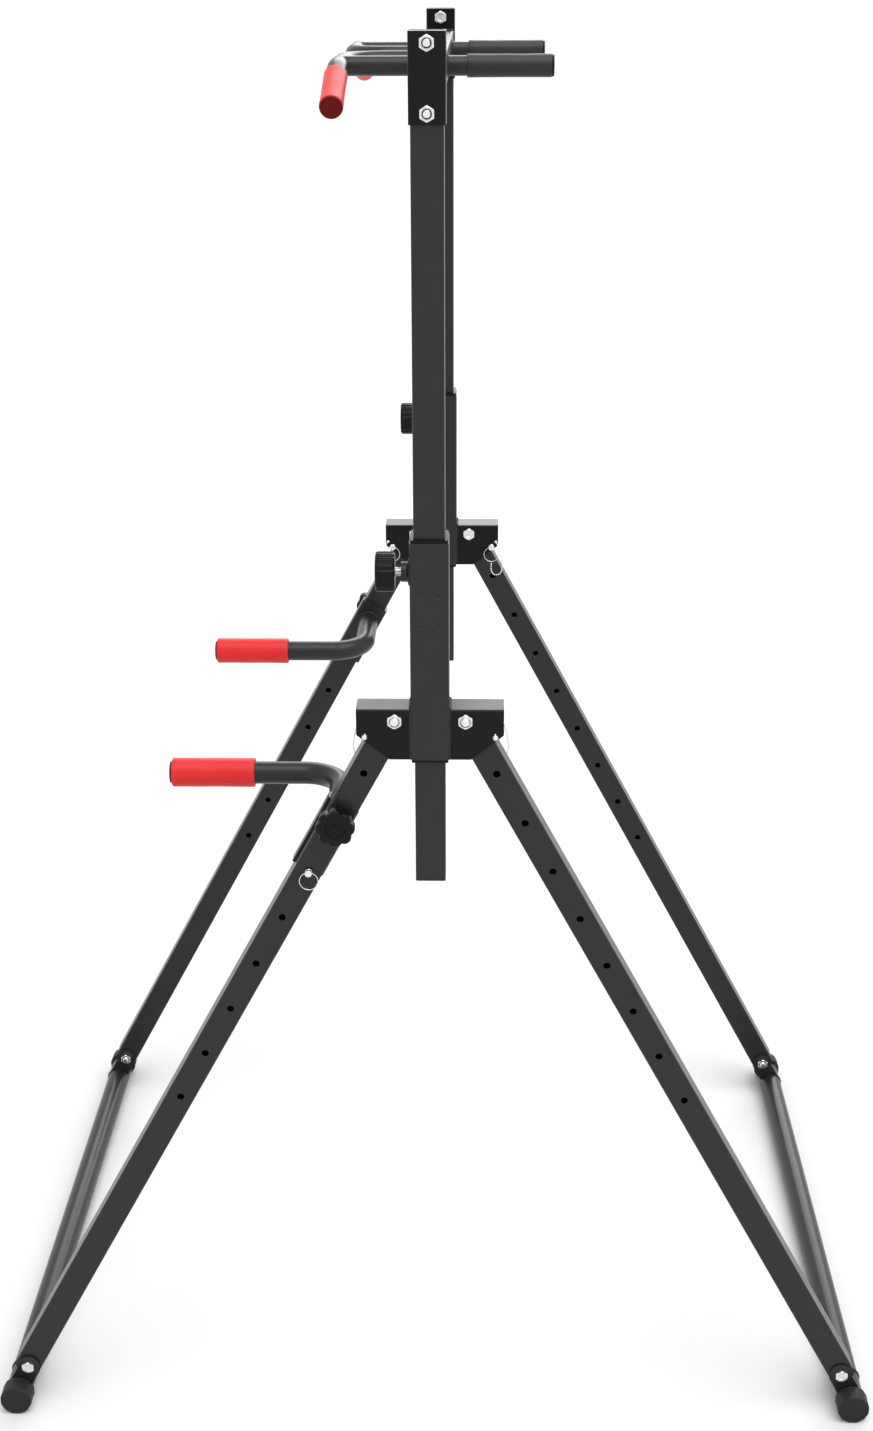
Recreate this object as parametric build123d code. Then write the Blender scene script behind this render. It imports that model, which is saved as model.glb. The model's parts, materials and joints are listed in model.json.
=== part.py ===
from build123d import *
import math
import os

# Folding free-standing pull-up and dip station, in millimetres.
# +Z is up, +X is the right-hand side frame, -Y is the front, where the wide grips and
# the dip handles are. The origin is on the floor, midway between the four feet.

# ---- driving dimensions ----
post_spacing = 880.0        # between the axes of the two posts
crossbar_height = 1893.0    # crossbar axis above the floor at the height setting shown

leg_size = 38.0             # square leg tube
leg_wall = 2.0
leg_angle = 28.3            # open leg from the vertical, degrees
leg_reach = 1220.0          # pivot to base tube axis, measured along the leg
leg_hole_clearance = 2.0    # adjusting holes over the pin diameter
leg_hole_first = 87.0       # pivot to the first adjusting hole
leg_hole_pitch = 80.0
leg_hole_count = 8
foot_inset = 5.5            # base tube axis below the leg's centre line
foot_bolt_rise = 46.0       # foot bolt above the base tube axis, along the leg
foot_bolt = 10.0
foot_bolt_flats = 17.0
foot_bolt_end = 11.0        # bolt beyond the inboard lug
foot_nut_height = 8.0
bolt_gap = 0.2              # bolts and pins to their holes, all round
lug_width = 32.0

base_tube_diameter = 38.0
base_tube_wall = 2.0
base_tube_overhang = 46.0   # base tube beyond each post axis
cap_across_flats = 46.0
cap_sides = 12
cap_end_wall = 4.0
cap_gap = 1.0               # cap to the outboard lug
cap_chamfer = 1.5

post_size = 40.0
post_wall = 2.0
post_length = 1073.0
post_top_gap = 2.0          # post end below the top of its bracket
post_plug_stub = 5.0        # plug inside the post
sleeve_wall = 2.5
sleeve_length = 293.0
bush_wall = 2.35            # plastic liner between post and sleeve
tube_corner = 3.0           # outside corner radius of the square tubes
bush_running_gap = 0.15     # bush to post, each side
bush_length = 36.0
bush_lip = 4.0              # bush edge that shows beyond the sleeve
bush_lip_inset = 1.0        # bush edge inside the sleeve's outside faces

height_pitch = 75.0         # post adjusting holes
height_steps_up = 2
height_steps_down = 6
post_hole_clearance = 1.0   # height holes over the plunger tip

bracket_edge = 11.5         # bracket beyond the lock pin
bracket_height = 69.0
bracket_plate = 3.0
bracket_chamfer_out = 42.5
bracket_chamfer_up = 34.0
bracket_leg_gap = 0.3       # bracket cheek to leg, each side
pivot_leg_gap = 2.0         # upright leg to the sleeve
pivot_drop = 14.0           # leg pivot below the bracket's top face
pivot_bolt = 12.0
pivot_head_flats = 18.0
pivot_nut_height = 9.0
pivot_bolt_end = 12.0       # bolt beyond the outboard cheek
pivot_bush_gap = 0.1
pivot_bush_diameter = 16.0
pivot_bush_cover = 0.3      # leg end above the pivot bush
leg_top_gap = 1.0           # leg end to the bracket's top face, inside

lock_pin = 8.0
lock_pin_drop = 38.0        # lock pin below the pivot, along the leg
lock_pin_gap = 0.3          # lock pin to the leg's outer face
lock_pin_tip = 8.0          # shows beyond the outboard cheek
pin_head_diameter = 9.5
pin_head_length = 12.0
tip_chamfer = 1.5
head_chamfer = 0.8
pin_head_gap = 0.3          # pin head to the face it stops on
pin_ring_place = 5.0        # ring hole from the head's end
ring_pin_end = 5.0          # ring pin beyond the saddle
ring_diameter = 25.0        # middle of the wire
ring_wire = 2.4
chain_diameter = 2.4
chain_gap = 0.2             # chain to the ring and the rivet
rivet_diameter = 5.0
rivet_height = 3.0
rivet_outward = 7.5         # rivet from the lock pin
rivet_rise = 8.0

top_bracket_length = 104.0
top_bracket_wall = 2.2
top_bolt = 10.0
top_bolt_spacing = 78.0
top_bolt_flats = 17.0
top_nut_height = 8.5
top_bolt_end = 9.5          # bolt beyond the bracket's outboard face
bolt_head_share = 0.6       # bolt head height over its diameter
post_plug_head = 1.6

crossbar_size = 40.0
crossbar_wall = 2.0

grip_tube_diameter = 25.0
grip_tube_wall = 2.0
parallel_grip_offset = 200.0    # parallel grips from the middle
rear_grip_reach = 153.0         # rear grip end behind the crossbar axis
grip_plug_head = 3.0
grip_plug_stub = 12.0
plug_rim = 1.5                  # grip plug's head below its foam's diameter
rear_foam_diameter = 29.0
rear_foam_length = 108.0
wide_grip_root = 68.0           # wide grip tubes leave the crossbar here
wide_grip_forward = 117.5       # wide grip axis in front of the crossbar axis
wide_grip_bend = 255.0          # where the wide grip turns down
wide_grip_end = 372.0
wide_grip_droop = 18.0          # degrees
wide_grip_elbow = 50.0          # bend radius
wide_grip_droop_radius = 60.0
wide_foam_diameter = 30.0
wide_foam_length = 98.0

dip_tube_diameter = 32.0
dip_tube_wall = 2.0
dip_grip_offset = 262.0         # dip grips from the middle
dip_grip_end = 371.0            # dip grip end in front of the posts
dip_elbow = 55.0
dip_weld_below_knob = 11.4      # tube axis below the star knob, along the leg
dip_weld_inward = 3.0           # tube axis from the leg's centre line, towards the posts
dip_foam_diameter = 41.5
dip_foam_length = 118.0
saddle_plate = 3.5
saddle_gap = 0.4                # saddle to leg
saddle_above_knob = 19.5
saddle_below_pin = 8.0
saddle_lap = 17.0               # saddle flange along the leg's side, from the leg's inboard face

star_knob_diameter = 52.5
star_knob_lobes = 8
star_lobe_radius = 9.3
star_web = 2.0              # knob's round middle beyond the lobes' centres
star_boss_diameter = 24.0
star_boss_length = 6.0
star_gap = 0.3              # knob to the leg, and stud end to the dip tube
star_knob_thickness = 18.0
star_stud = 8.0
stud_gap = 0.3              # stud to its holes

height_knob_diameter = 52.0
height_knob_length = 25.0
height_knob_round = 4.0
height_knob_grooves = 16
groove_radius = 3.0
groove_offset = 1.5         # groove centres beyond the knob's rim
height_knob_drop = 44.0         # plunger axis below the sleeve's top
plunger_stem = 12.0
plunger_thread_length = 8.0
plunger_boss_diameter = 26.0
plunger_boss_length = 11.0
plunger_boss_flare = 3.0
plunger_boss_flare_height = 4.0
plunger_boss_wall = 2.0     # boss end around the stem
plunger_stem_gap = 0.05
spring_diameter = 17.0
spring_wire = 1.4
spring_gap = 0.2            # spring to the boss and the sleeve
spring_room = 0.5           # boss bore round the spring
plunger_tip = 10.0
plunger_tip_room = 0.5      # sleeve hole round the tip
plunger_tip_gap = 0.5           # plunger tip to the post's front face

dimple_diameter = 9.5
dimple_depth = 1.6
dimple_first = 69.0             # below the sleeve's top
dimple_pitch = 40.0
dimple_spread = 24.0

# ---- derived sizes and places ----
sleeve_size = post_size + 2 * (bush_running_gap + bush_wall + sleeve_wall)
pivot_offset = sleeve_size / 2 + pivot_leg_gap + leg_size / 2
leg_hole = lock_pin + leg_hole_clearance
leg_top_rise = pivot_bush_diameter / 2 + pivot_bush_cover
post_hole = plunger_tip + post_hole_clearance
half_spacing = post_spacing / 2
tilt = math.radians(leg_angle)
cap_radius = cap_across_flats / 2
pivot_height = cap_radius + leg_reach * math.cos(tilt) + foot_inset * math.sin(tilt)
bracket_top = pivot_height + pivot_drop
bracket_bottom = bracket_top - bracket_height
sleeve_top = bracket_bottom + sleeve_length
plunger_height = sleeve_top - height_knob_drop
post_top = crossbar_height + top_bracket_length / 2 - post_top_gap
post_bottom = post_top - post_length
cheek_inside = leg_size / 2 + bracket_leg_gap
cheek_outside = cheek_inside + bracket_plate
top_bracket_size = post_size + 2 * top_bracket_wall
base_half_length = half_spacing + base_tube_overhang
cap_start = half_spacing + cheek_outside + cap_gap
cap_end = base_half_length + cap_end_wall
star_hole_at = leg_hole_first + leg_hole_pitch
ring_hole_at = leg_hole_first + 2 * leg_hole_pitch
foot_bolt_at = leg_reach - foot_bolt_rise
wide_grip_drop = (wide_grip_end - wide_grip_bend) * math.tan(math.radians(wide_grip_droop))


def leg_point(along, outward):
    """Y and Z of a point of the rear leg: along it below the pivot, and outward from its middle."""
    y = pivot_offset + along * math.sin(tilt) + outward * math.cos(tilt)
    z = pivot_height - along * math.cos(tilt) + outward * math.sin(tilt)
    return y, z


foot_y, foot_z = leg_point(leg_reach, -foot_inset)
lock_y, lock_z = leg_point(lock_pin_drop, leg_size / 2 + lock_pin_gap + lock_pin / 2)
star_y, star_z = leg_point(star_hole_at, 0)
ring_y, ring_z = leg_point(ring_hole_at, 0)
foot_bolt_y, foot_bolt_z = leg_point(foot_bolt_at, 0)


# ---- shape helpers ----
def rod(radius, start, end):
    """A round bar between two points on a line parallel to an axis."""
    line = Edge.make_line(start, end)
    return Solid.make_cylinder(radius, line.length, Plane(origin=start, z_dir=line.tangent_at(0)))


def square_tube(size, wall, length, corner=tube_corner):
    """A hollow square tube along Z, standing on the XY plane."""
    outer = extrude(RectangleRounded(size, size, corner), length)
    inner = extrude(RectangleRounded(size - 2 * wall, size - 2 * wall, max(corner - wall, 0.5)), length)
    return outer - inner


def bent_tube(points, radii, diameter, wall=0.0):
    """A round tube, or a bar if wall is 0, along straight runs with rounded corners."""
    path = FilletPolyline(*points, radius=radii)
    plane = Plane(origin=path @ 0, z_dir=path % 0)
    outer = sweep(plane * Circle(diameter / 2), path)
    if wall == 0.0:
        return outer
    return outer - sweep(plane * Circle(diameter / 2 - wall), path)


def pipe(diameter, wall, start, end):
    """A straight round tube between two points."""
    return rod(diameter / 2, start, end) - rod(diameter / 2 - wall, start, end)


def hex_bar(flats, start, end):
    """A hexagonal bar along X between two points, as for bolt heads and nuts."""
    plane = Plane(origin=start, x_dir=(0, 1, 0), z_dir=(1, 0, 0))
    sketch = plane * RegularPolygon(flats / 2, 6, major_radius=False)
    return extrude(sketch, end[0] - start[0], dir=(1, 0, 0))


def hex_bolt(diameter, flats, y, z, x_head, x_end):
    """A bolt along X. Its head is outside x_head and its shank ends at x_end."""
    outward = 1 if x_head > x_end else -1
    head = hex_bar(flats, (x_head, y, z), (x_head + outward * bolt_head_share * diameter, y, z))
    return head + rod(diameter / 2, (x_end, y, z), (x_head, y, z))


def hex_nut(diameter, flats, y, z, x_face, outward, height):
    """A nut on the bolt along X, seated on x_face."""
    body = hex_bar(flats, (x_face, y, z), (x_face + outward * height, y, z))
    return body - rod(diameter / 2, (x_face, y, z), (x_face + outward * height, y, z))


def left_copy(shape):
    return mirror(shape, about=Plane.YZ)


def front_copy(shape):
    return mirror(shape, about=Plane.XZ)


def on_leg(shape):
    """Carry a shape from the leg's own frame, pivot at the origin and leg down -Z, to the rear right leg."""
    return Pos(half_spacing, pivot_offset, pivot_height) * Rot(leg_angle, 0, 0) * shape


def group(shapes):
    return Compound(children=[solid for shape in shapes for solid in shape.solids()])


nodes = {}


# ---- side frames: sleeves, leg brackets and plungers ----
def sleeve():
    """Square sleeve with the plunger hole in front and six dimples on its outboard face."""
    tube = Pos(half_spacing, 0, bracket_bottom) * square_tube(sleeve_size, sleeve_wall, sleeve_length)
    tube -= rod(plunger_tip / 2 + plunger_tip_room, (half_spacing, -sleeve_size, plunger_height),
                (half_spacing, 0, plunger_height))
    ball = (dimple_diameter ** 2 / 4 + dimple_depth ** 2) / (2 * dimple_depth)
    face = half_spacing + sleeve_size / 2
    for row in range(3):
        for column in (-1, 1):
            centre = (face + ball - dimple_depth, column * dimple_spread / 2,
                      sleeve_top - dimple_first - row * dimple_pitch)
            tube -= Pos(*centre) * Sphere(ball)
    return tube


def sleeve_bush(z_low, lip_low):
    """Plastic liner between sleeve and post, with a lip outside the sleeve's end."""
    outer = sleeve_size - 2 * sleeve_wall
    bore = post_size + 2 * bush_running_gap
    liner = extrude(RectangleRounded(outer, outer, tube_corner - 1), bush_length)
    lip_size = sleeve_size - 2 * bush_lip_inset
    lip = extrude(RectangleRounded(lip_size, lip_size, tube_corner), bush_lip)
    lip_z = -bush_lip if lip_low else bush_length
    bush = liner + Pos(0, 0, lip_z) * lip
    hole = extrude(RectangleRounded(bore, bore, tube_corner), bush_length + 2 * bush_lip)
    return Pos(half_spacing, 0, z_low) * (bush - Pos(0, 0, -bush_lip) * hole)


def leg_bracket_half():
    """Channel behind the sleeve: a top face and two cheeks with their lower outer corners cut off."""
    y0 = sleeve_size / 2
    y1 = lock_y + bracket_edge
    chamfer_top = bracket_bottom + bracket_chamfer_up
    profile = Polyline((y0, bracket_bottom), (y1 - bracket_chamfer_out, bracket_bottom), (y1, chamfer_top),
                       (y1, bracket_top), (y0, bracket_top), close=True)
    plane = Plane(origin=(half_spacing - cheek_outside, 0, 0), x_dir=(0, 1, 0), z_dir=(1, 0, 0))
    block = extrude(plane * make_face(profile), 2 * cheek_outside, dir=(1, 0, 0))
    top_edges = block.edges().filter_by(Axis.Y).group_by(Axis.Z)[-1]
    block = fillet(top_edges, bracket_plate)
    inside_height = bracket_top - bracket_plate - bracket_bottom
    channel = Pos(half_spacing, (y0 + y1) / 2, bracket_bottom + inside_height / 2) * Box(
        2 * cheek_inside, y1 - y0, inside_height)
    block -= channel
    near, far = half_spacing - sleeve_size, half_spacing + sleeve_size
    block -= rod(pivot_bolt / 2 + bolt_gap, (near, pivot_offset, pivot_height),
                 (far, pivot_offset, pivot_height))
    block -= rod(lock_pin / 2 + bolt_gap, (near, lock_y, lock_z), (far, lock_y, lock_z))
    return block


def plunger_boss():
    """Threaded boss welded on the front of the sleeve."""
    y0 = -sleeve_size / 2
    y_end = y0 - plunger_boss_length
    radius = plunger_boss_diameter / 2
    flare = Cone(radius + plunger_boss_flare, radius, plunger_boss_flare_height,
                 align=(Align.CENTER, Align.CENTER, Align.MIN))
    boss = Pos(half_spacing, y0, plunger_height) * Rot(90, 0, 0) * flare
    boss += rod(radius, (half_spacing, y_end, plunger_height), (half_spacing, y0, plunger_height))
    boss -= rod(spring_diameter / 2 + spring_room, (half_spacing, y_end + plunger_boss_wall, plunger_height),
                (half_spacing, y0, plunger_height))
    return boss - rod(plunger_stem / 2 + plunger_stem_gap, (half_spacing, y_end, plunger_height),
                      (half_spacing, y0, plunger_height))


def plunger_spring():
    """Return spring inside the boss, as the closed tube that its coils fill."""
    y0 = -sleeve_size / 2
    y_end = y0 - plunger_boss_length + plunger_boss_wall
    return pipe(spring_diameter, spring_wire, (half_spacing, y_end + spring_gap, plunger_height),
                (half_spacing, y0 - spring_gap, plunger_height))


def plunger():
    """Steel plunger: tip towards the post, stem through the boss and a bright threaded neck."""
    y0 = -sleeve_size / 2
    y_knob = y0 - plunger_boss_length - plunger_thread_length
    tip = rod(plunger_tip / 2, (half_spacing, y0, plunger_height),
              (half_spacing, -post_size / 2 - plunger_tip_gap, plunger_height))
    stem = rod(plunger_stem / 2, (half_spacing, y_knob, plunger_height), (half_spacing, y0, plunger_height))
    return stem + tip


def height_knob():
    """Round ribbed knob on the plunger."""
    y_back = -sleeve_size / 2 - plunger_boss_length - plunger_thread_length
    plane = Plane(origin=(half_spacing, y_back, plunger_height), x_dir=(1, 0, 0), z_dir=(0, -1, 0))
    body = extrude(plane * Circle(height_knob_diameter / 2), height_knob_length, dir=(0, -1, 0))
    body = fillet(body.edges(), height_knob_round)
    reach = height_knob_diameter / 2 + groove_offset
    for index in range(height_knob_grooves):
        turn = 2 * math.pi * index / height_knob_grooves
        x = half_spacing + reach * math.cos(turn)
        z = plunger_height + reach * math.sin(turn)
        body -= rod(groove_radius, (x, y_back - height_knob_length - 1, z), (x, y_back + 1, z))
    return body


right_sleeve = sleeve()
nodes["sleeve_right"] = right_sleeve
nodes["sleeve_left"] = left_copy(right_sleeve)
bracket_pair = group([leg_bracket_half(), front_copy(leg_bracket_half())])
nodes["leg_bracket_right"] = bracket_pair
nodes["leg_bracket_left"] = left_copy(bracket_pair)
upper_bush = sleeve_bush(sleeve_top - bush_length, False)
lower_bush = sleeve_bush(bracket_bottom, True)
nodes["sleeve_bushes"] = group([upper_bush, lower_bush, left_copy(upper_bush), left_copy(lower_bush)])
nodes["plunger_bosses"] = group([plunger_boss(), left_copy(plunger_boss())])
nodes["plunger_springs"] = group([plunger_spring(), left_copy(plunger_spring())])
nodes["plunger_right"] = plunger()
nodes["plunger_left"] = left_copy(plunger())
right_height_knob = height_knob()
nodes["height_knob_right"] = right_height_knob
nodes["height_knob_left"] = left_copy(right_height_knob)


# ---- legs and base ----
def leg():
    """Square leg tube: its top cleared under the bracket, its lower end rounded about the foot bolt."""
    end = foot_bolt_at + leg_size / 2
    tube = Pos(0, 0, -end) * square_tube(leg_size, leg_wall, end + 2 * leg_size)
    for index in range(leg_hole_count):
        z = -(leg_hole_first + index * leg_hole_pitch)
        tube -= rod(leg_hole / 2, (-leg_size, 0, z), (leg_size, 0, z))
    tube -= rod(pivot_bush_diameter / 2, (-leg_size, 0, 0), (leg_size, 0, 0))
    tube -= rod(foot_bolt / 2 + bolt_gap, (-leg_size, 0, -foot_bolt_at), (leg_size, 0, -foot_bolt_at))
    below_bolt = Pos(0, 0, -foot_bolt_at - leg_size) * Box(2 * leg_size, 2 * leg_size, 2 * leg_size)
    round_end = rod(leg_size / 2, (-leg_size, 0, -foot_bolt_at), (leg_size, 0, -foot_bolt_at))
    tube -= below_bolt - round_end
    tube -= Pos(0, 0, leg_top_rise + leg_size) * Box(2 * leg_size, 2 * leg_size, 2 * leg_size)
    roof_height = pivot_drop - bracket_plate - leg_top_gap
    roof = Rot(-leg_angle, 0, 0) * Pos(0, 0, roof_height + leg_size) * Box(
        2 * leg_size, 4 * leg_size, 2 * leg_size)
    return on_leg(tube - roof)


def pivot_bush():
    """Steel tube welded through the leg round the pivot bolt."""
    half = leg_size / 2
    return on_leg(pipe(pivot_bush_diameter, (pivot_bush_diameter - pivot_bolt) / 2 - pivot_bush_gap,
                       (-half, 0, 0), (half, 0, 0)))


def base_tube():
    return pipe(base_tube_diameter, base_tube_wall, (-base_half_length, foot_y, foot_z),
                (base_half_length, foot_y, foot_z))


def foot_lug(x_inner):
    """Plate welded on the base tube, beside the leg, with a rounded top about the foot bolt."""
    plate = on_leg(Pos(0, -foot_inset / 2, -(foot_bolt_at + leg_reach) / 2) * Box(
        bracket_plate, lug_width, foot_bolt_rise))
    half = bracket_plate / 2
    plate += on_leg(rod(lug_width / 2, (-half, 0, -foot_bolt_at), (half, 0, -foot_bolt_at)))
    near, far = half_spacing - leg_size, half_spacing + leg_size
    plate -= rod(base_tube_diameter / 2, (near, foot_y, foot_z), (far, foot_y, foot_z))
    plate -= rod(foot_bolt / 2 + bolt_gap, (near, foot_bolt_y, foot_bolt_z), (far, foot_bolt_y, foot_bolt_z))
    below = Pos(half_spacing, foot_y, foot_z - leg_size) * Box(2 * leg_size, 4 * leg_size, 2 * leg_size)
    return Pos(x_inner + bracket_plate / 2, 0, 0) * (plate - below)


def foot_cap():
    """Twelve-sided rubber cap over the end of the base tube."""
    plane = Plane(origin=(cap_start, foot_y, foot_z), x_dir=(0, 1, 0), z_dir=(1, 0, 0))
    flat_down = 180.0 / cap_sides
    sketch = plane * Rot(0, 0, flat_down) * RegularPolygon(cap_radius, cap_sides, major_radius=False)
    cap = extrude(sketch, cap_end - cap_start, dir=(1, 0, 0))
    end_edges = cap.edges().group_by(Axis.X)[-1]
    cap = chamfer(end_edges, cap_chamfer)
    tube_end = (base_half_length, foot_y, foot_z)
    return cap - rod(base_tube_diameter / 2, (half_spacing, foot_y, foot_z), tube_end)


def foot_fastener():
    """M10 bolt through the lugs and the leg, its head outboard."""
    x_out = half_spacing + cheek_outside
    x_in = half_spacing - cheek_outside
    bolt = hex_bolt(foot_bolt, foot_bolt_flats, foot_bolt_y, foot_bolt_z, x_out, x_in - foot_bolt_end)
    nut = hex_nut(foot_bolt, foot_bolt_flats, foot_bolt_y, foot_bolt_z, x_in, -1, foot_nut_height)
    return bolt, nut


rear_leg = leg()
rear_lugs = [foot_lug(cheek_inside), foot_lug(-cheek_inside - bracket_plate)]
rear_sets = {
    "pivot_bushes": [pivot_bush()],
    "foot_lugs": rear_lugs,
    "foot_caps": [foot_cap()],
    "foot_fasteners": list(foot_fastener()),
}
nodes["leg_rear_right"] = rear_leg
nodes["leg_rear_left"] = left_copy(rear_leg)
nodes["leg_front_right"] = front_copy(rear_leg)
nodes["leg_front_left"] = front_copy(left_copy(rear_leg))
nodes["base_tube_rear"] = base_tube()
nodes["base_tube_front"] = front_copy(base_tube())
for name, pieces in rear_sets.items():
    both_sides = group(pieces + [left_copy(piece) for piece in pieces])
    nodes[name + "_rear"] = both_sides
    nodes[name + "_front"] = front_copy(both_sides)


# ---- leg pivots ----
def pivot_fastener():
    """M12 bolt through the bracket and the leg, its nut outboard."""
    x_out = half_spacing + cheek_outside
    x_in = half_spacing - cheek_outside
    bolt = hex_bolt(pivot_bolt, pivot_head_flats, pivot_offset, pivot_height, x_in, x_out + pivot_bolt_end)
    nut = hex_nut(pivot_bolt, pivot_head_flats, pivot_offset, pivot_height, x_out, 1, pivot_nut_height)
    return [bolt, nut]


pivots = pivot_fastener()
pivots += [front_copy(piece) for piece in pivots]
pivots += [left_copy(piece) for piece in pivots]
nodes["pivot_fasteners"] = group(pivots)


# ---- pins with rings ----
def hanging_ring(x, y, z, drop):
    """Split ring in a plane across X, hanging from a cross hole at x, y, z."""
    return Pos(x, y, z - drop) * Rot(0, 90, 0) * Torus(ring_diameter / 2, ring_wire / 2)


def headed_pin(y, z, x_head, x_tip):
    """Straight pin along X, its head outside x_head and its tip at x_tip, and where its ring hangs."""
    inward = 1 if x_tip > x_head else -1
    shank = rod(lock_pin / 2, (x_head, y, z), (x_tip, y, z))
    shank = chamfer(shank.edges().group_by(Axis.X)[-1 if inward > 0 else 0], tip_chamfer)
    head = rod(pin_head_diameter / 2, (x_head - inward * pin_head_length, y, z), (x_head, y, z))
    head = chamfer(head.edges().group_by(Axis.X)[0 if inward > 0 else -1], head_chamfer)
    return shank + head, x_head - inward * (pin_head_length - pin_ring_place)


def pin_with_ring(y, z, x_head, x_tip):
    """A headed pin and the split ring that hangs from a hole in its head."""
    pin, x_ring = headed_pin(y, z, x_head, x_tip)
    ring = hanging_ring(x_ring, y, z, ring_diameter / 2)
    return group([pin - ring, ring]), x_ring


lock_head_x = half_spacing - cheek_outside - pin_head_gap
lock_tip_x = half_spacing + cheek_outside + lock_pin_tip
rear_right_pin, chain_x = pin_with_ring(lock_y, lock_z, lock_head_x, lock_tip_x)
nodes["lock_pin_rear_right"] = rear_right_pin
nodes["lock_pin_rear_left"] = left_copy(rear_right_pin)
nodes["lock_pin_front_right"] = front_copy(rear_right_pin)
nodes["lock_pin_front_left"] = front_copy(left_copy(rear_right_pin))
ring_head_x = half_spacing + leg_size / 2 + pin_head_gap
ring_tip_x = half_spacing - leg_size / 2 - saddle_gap - saddle_plate - ring_pin_end
right_ring_pin, _ = pin_with_ring(-ring_y, ring_z, ring_head_x, ring_tip_x)
nodes["ring_pin_right"] = right_ring_pin
nodes["ring_pin_left"] = left_copy(right_ring_pin)


# ---- posts, crossbar and pull-up grips: these slide up and down together ----
def post():
    """Square post with a row of height holes in its front face."""
    tube = Pos(half_spacing, 0, post_bottom) * square_tube(post_size, post_wall, post_length)
    for step in range(-height_steps_up, height_steps_down + 1):
        z = plunger_height + step * height_pitch
        tube -= rod(post_hole / 2, (half_spacing, -post_size, z), (half_spacing, 0, z))
    return tube


def post_plug(z_face, outward):
    """Plastic plug in a post's end: a flat head and a stub inside the tube."""
    head = extrude(RectangleRounded(post_size, post_size, tube_corner), post_plug_head)
    bore = post_size - 2 * post_wall
    stub = extrude(RectangleRounded(bore, bore, tube_corner - post_wall), post_plug_stub)
    if outward > 0:
        plug = head + Pos(0, 0, -post_plug_stub) * stub
    else:
        plug = Pos(0, 0, -post_plug_head) * head + stub
    return Pos(half_spacing, 0, z_face) * plug


def top_bracket():
    """Box bracket round the top of the post. The crossbar is welded to its inboard face."""
    z_low = crossbar_height - top_bracket_length / 2
    outer = extrude(RectangleRounded(top_bracket_size, top_bracket_size, tube_corner), top_bracket_length)
    inner = extrude(RectangleRounded(post_size, post_size, tube_corner), top_bracket_length)
    return Pos(half_spacing, 0, z_low) * (outer - inner)


def top_fasteners():
    """Two M10 bolts through the top bracket and the post, with lock nuts outboard."""
    face = half_spacing + top_bracket_size / 2
    inner = half_spacing - top_bracket_size / 2
    pieces = []
    for end in (-1, 1):
        z = crossbar_height + end * top_bolt_spacing / 2
        pieces.append(hex_bolt(top_bolt, top_bolt_flats, 0, z, inner, face + top_bolt_end))
        pieces.append(hex_nut(top_bolt, top_bolt_flats, 0, z, face, 1, top_nut_height))
    return pieces


def drill_top(shape):
    """Clear the top bolts' holes along X."""
    for end in (-1, 1):
        z = crossbar_height + end * top_bolt_spacing / 2
        shape -= rod(top_bolt / 2, (half_spacing - post_size, 0, z), (half_spacing + post_size, 0, z))
    return shape


def crossbar():
    length = post_spacing - top_bracket_size
    tube = square_tube(crossbar_size, crossbar_wall, length)
    return Pos(-length / 2, 0, crossbar_height) * Rot(0, 90, 0) * tube


def wide_grip_points(start_y):
    droop_z = crossbar_height - wide_grip_drop
    return [(wide_grip_root, start_y, crossbar_height),
            (wide_grip_root, -wide_grip_forward, crossbar_height),
            (wide_grip_bend, -wide_grip_forward, crossbar_height),
            (wide_grip_end, -wide_grip_forward, droop_z)]


def wide_grip_tube():
    """Forward from the crossbar, round an elbow to the side, then drooping at the grip."""
    return bent_tube(wide_grip_points(-crossbar_size / 2), [wide_grip_elbow, wide_grip_droop_radius],
                     grip_tube_diameter, grip_tube_wall)


def droop_direction():
    droop = math.radians(wide_grip_droop)
    return math.cos(droop), -math.sin(droop)


def wide_foam():
    dx, dz = droop_direction()
    tip_z = crossbar_height - wide_grip_drop
    start = (wide_grip_end - wide_foam_length * dx, -wide_grip_forward, tip_z - wide_foam_length * dz)
    end = (wide_grip_end, -wide_grip_forward, tip_z)
    return pipe(wide_foam_diameter, (wide_foam_diameter - grip_tube_diameter) / 2, start, end)


def front_grip_tube():
    """Straight tube from the crossbar, coped onto the wide grip tube."""
    start = (parallel_grip_offset, -crossbar_size / 2, crossbar_height)
    end = (parallel_grip_offset, -wide_grip_forward, crossbar_height)
    near, far = parallel_grip_offset - grip_tube_diameter, parallel_grip_offset + grip_tube_diameter
    wide = rod(grip_tube_diameter / 2, (near, -wide_grip_forward, crossbar_height),
               (far, -wide_grip_forward, crossbar_height))
    return pipe(grip_tube_diameter, grip_tube_wall, start, end) - wide


def rear_grip_tube():
    root = (parallel_grip_offset, crossbar_size / 2, crossbar_height)
    end = (parallel_grip_offset, rear_grip_reach, crossbar_height)
    return pipe(grip_tube_diameter, grip_tube_wall, root, end)


def rear_foam():
    return pipe(rear_foam_diameter, (rear_foam_diameter - grip_tube_diameter) / 2,
                (parallel_grip_offset, rear_grip_reach - rear_foam_length, crossbar_height),
                (parallel_grip_offset, rear_grip_reach, crossbar_height))


def tube_plug(diameter, wall, head_diameter, end, direction):
    """Plug in a round tube's end: a thin domed head and a stub inside."""
    head = Vector(*end) + Vector(*direction) * grip_plug_head
    stub = Vector(*end) - Vector(*direction) * grip_plug_stub
    stub_bar = rod(diameter / 2 - wall, tuple(stub), tuple(end))
    return rod(head_diameter / 2, tuple(end), tuple(head)) + stub_bar


def wide_grip_plug():
    dx, dz = droop_direction()
    wide_end = (wide_grip_end, -wide_grip_forward, crossbar_height - wide_grip_drop)
    return tube_plug(grip_tube_diameter, grip_tube_wall, wide_foam_diameter - plug_rim, wide_end, (dx, 0, dz))


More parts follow.
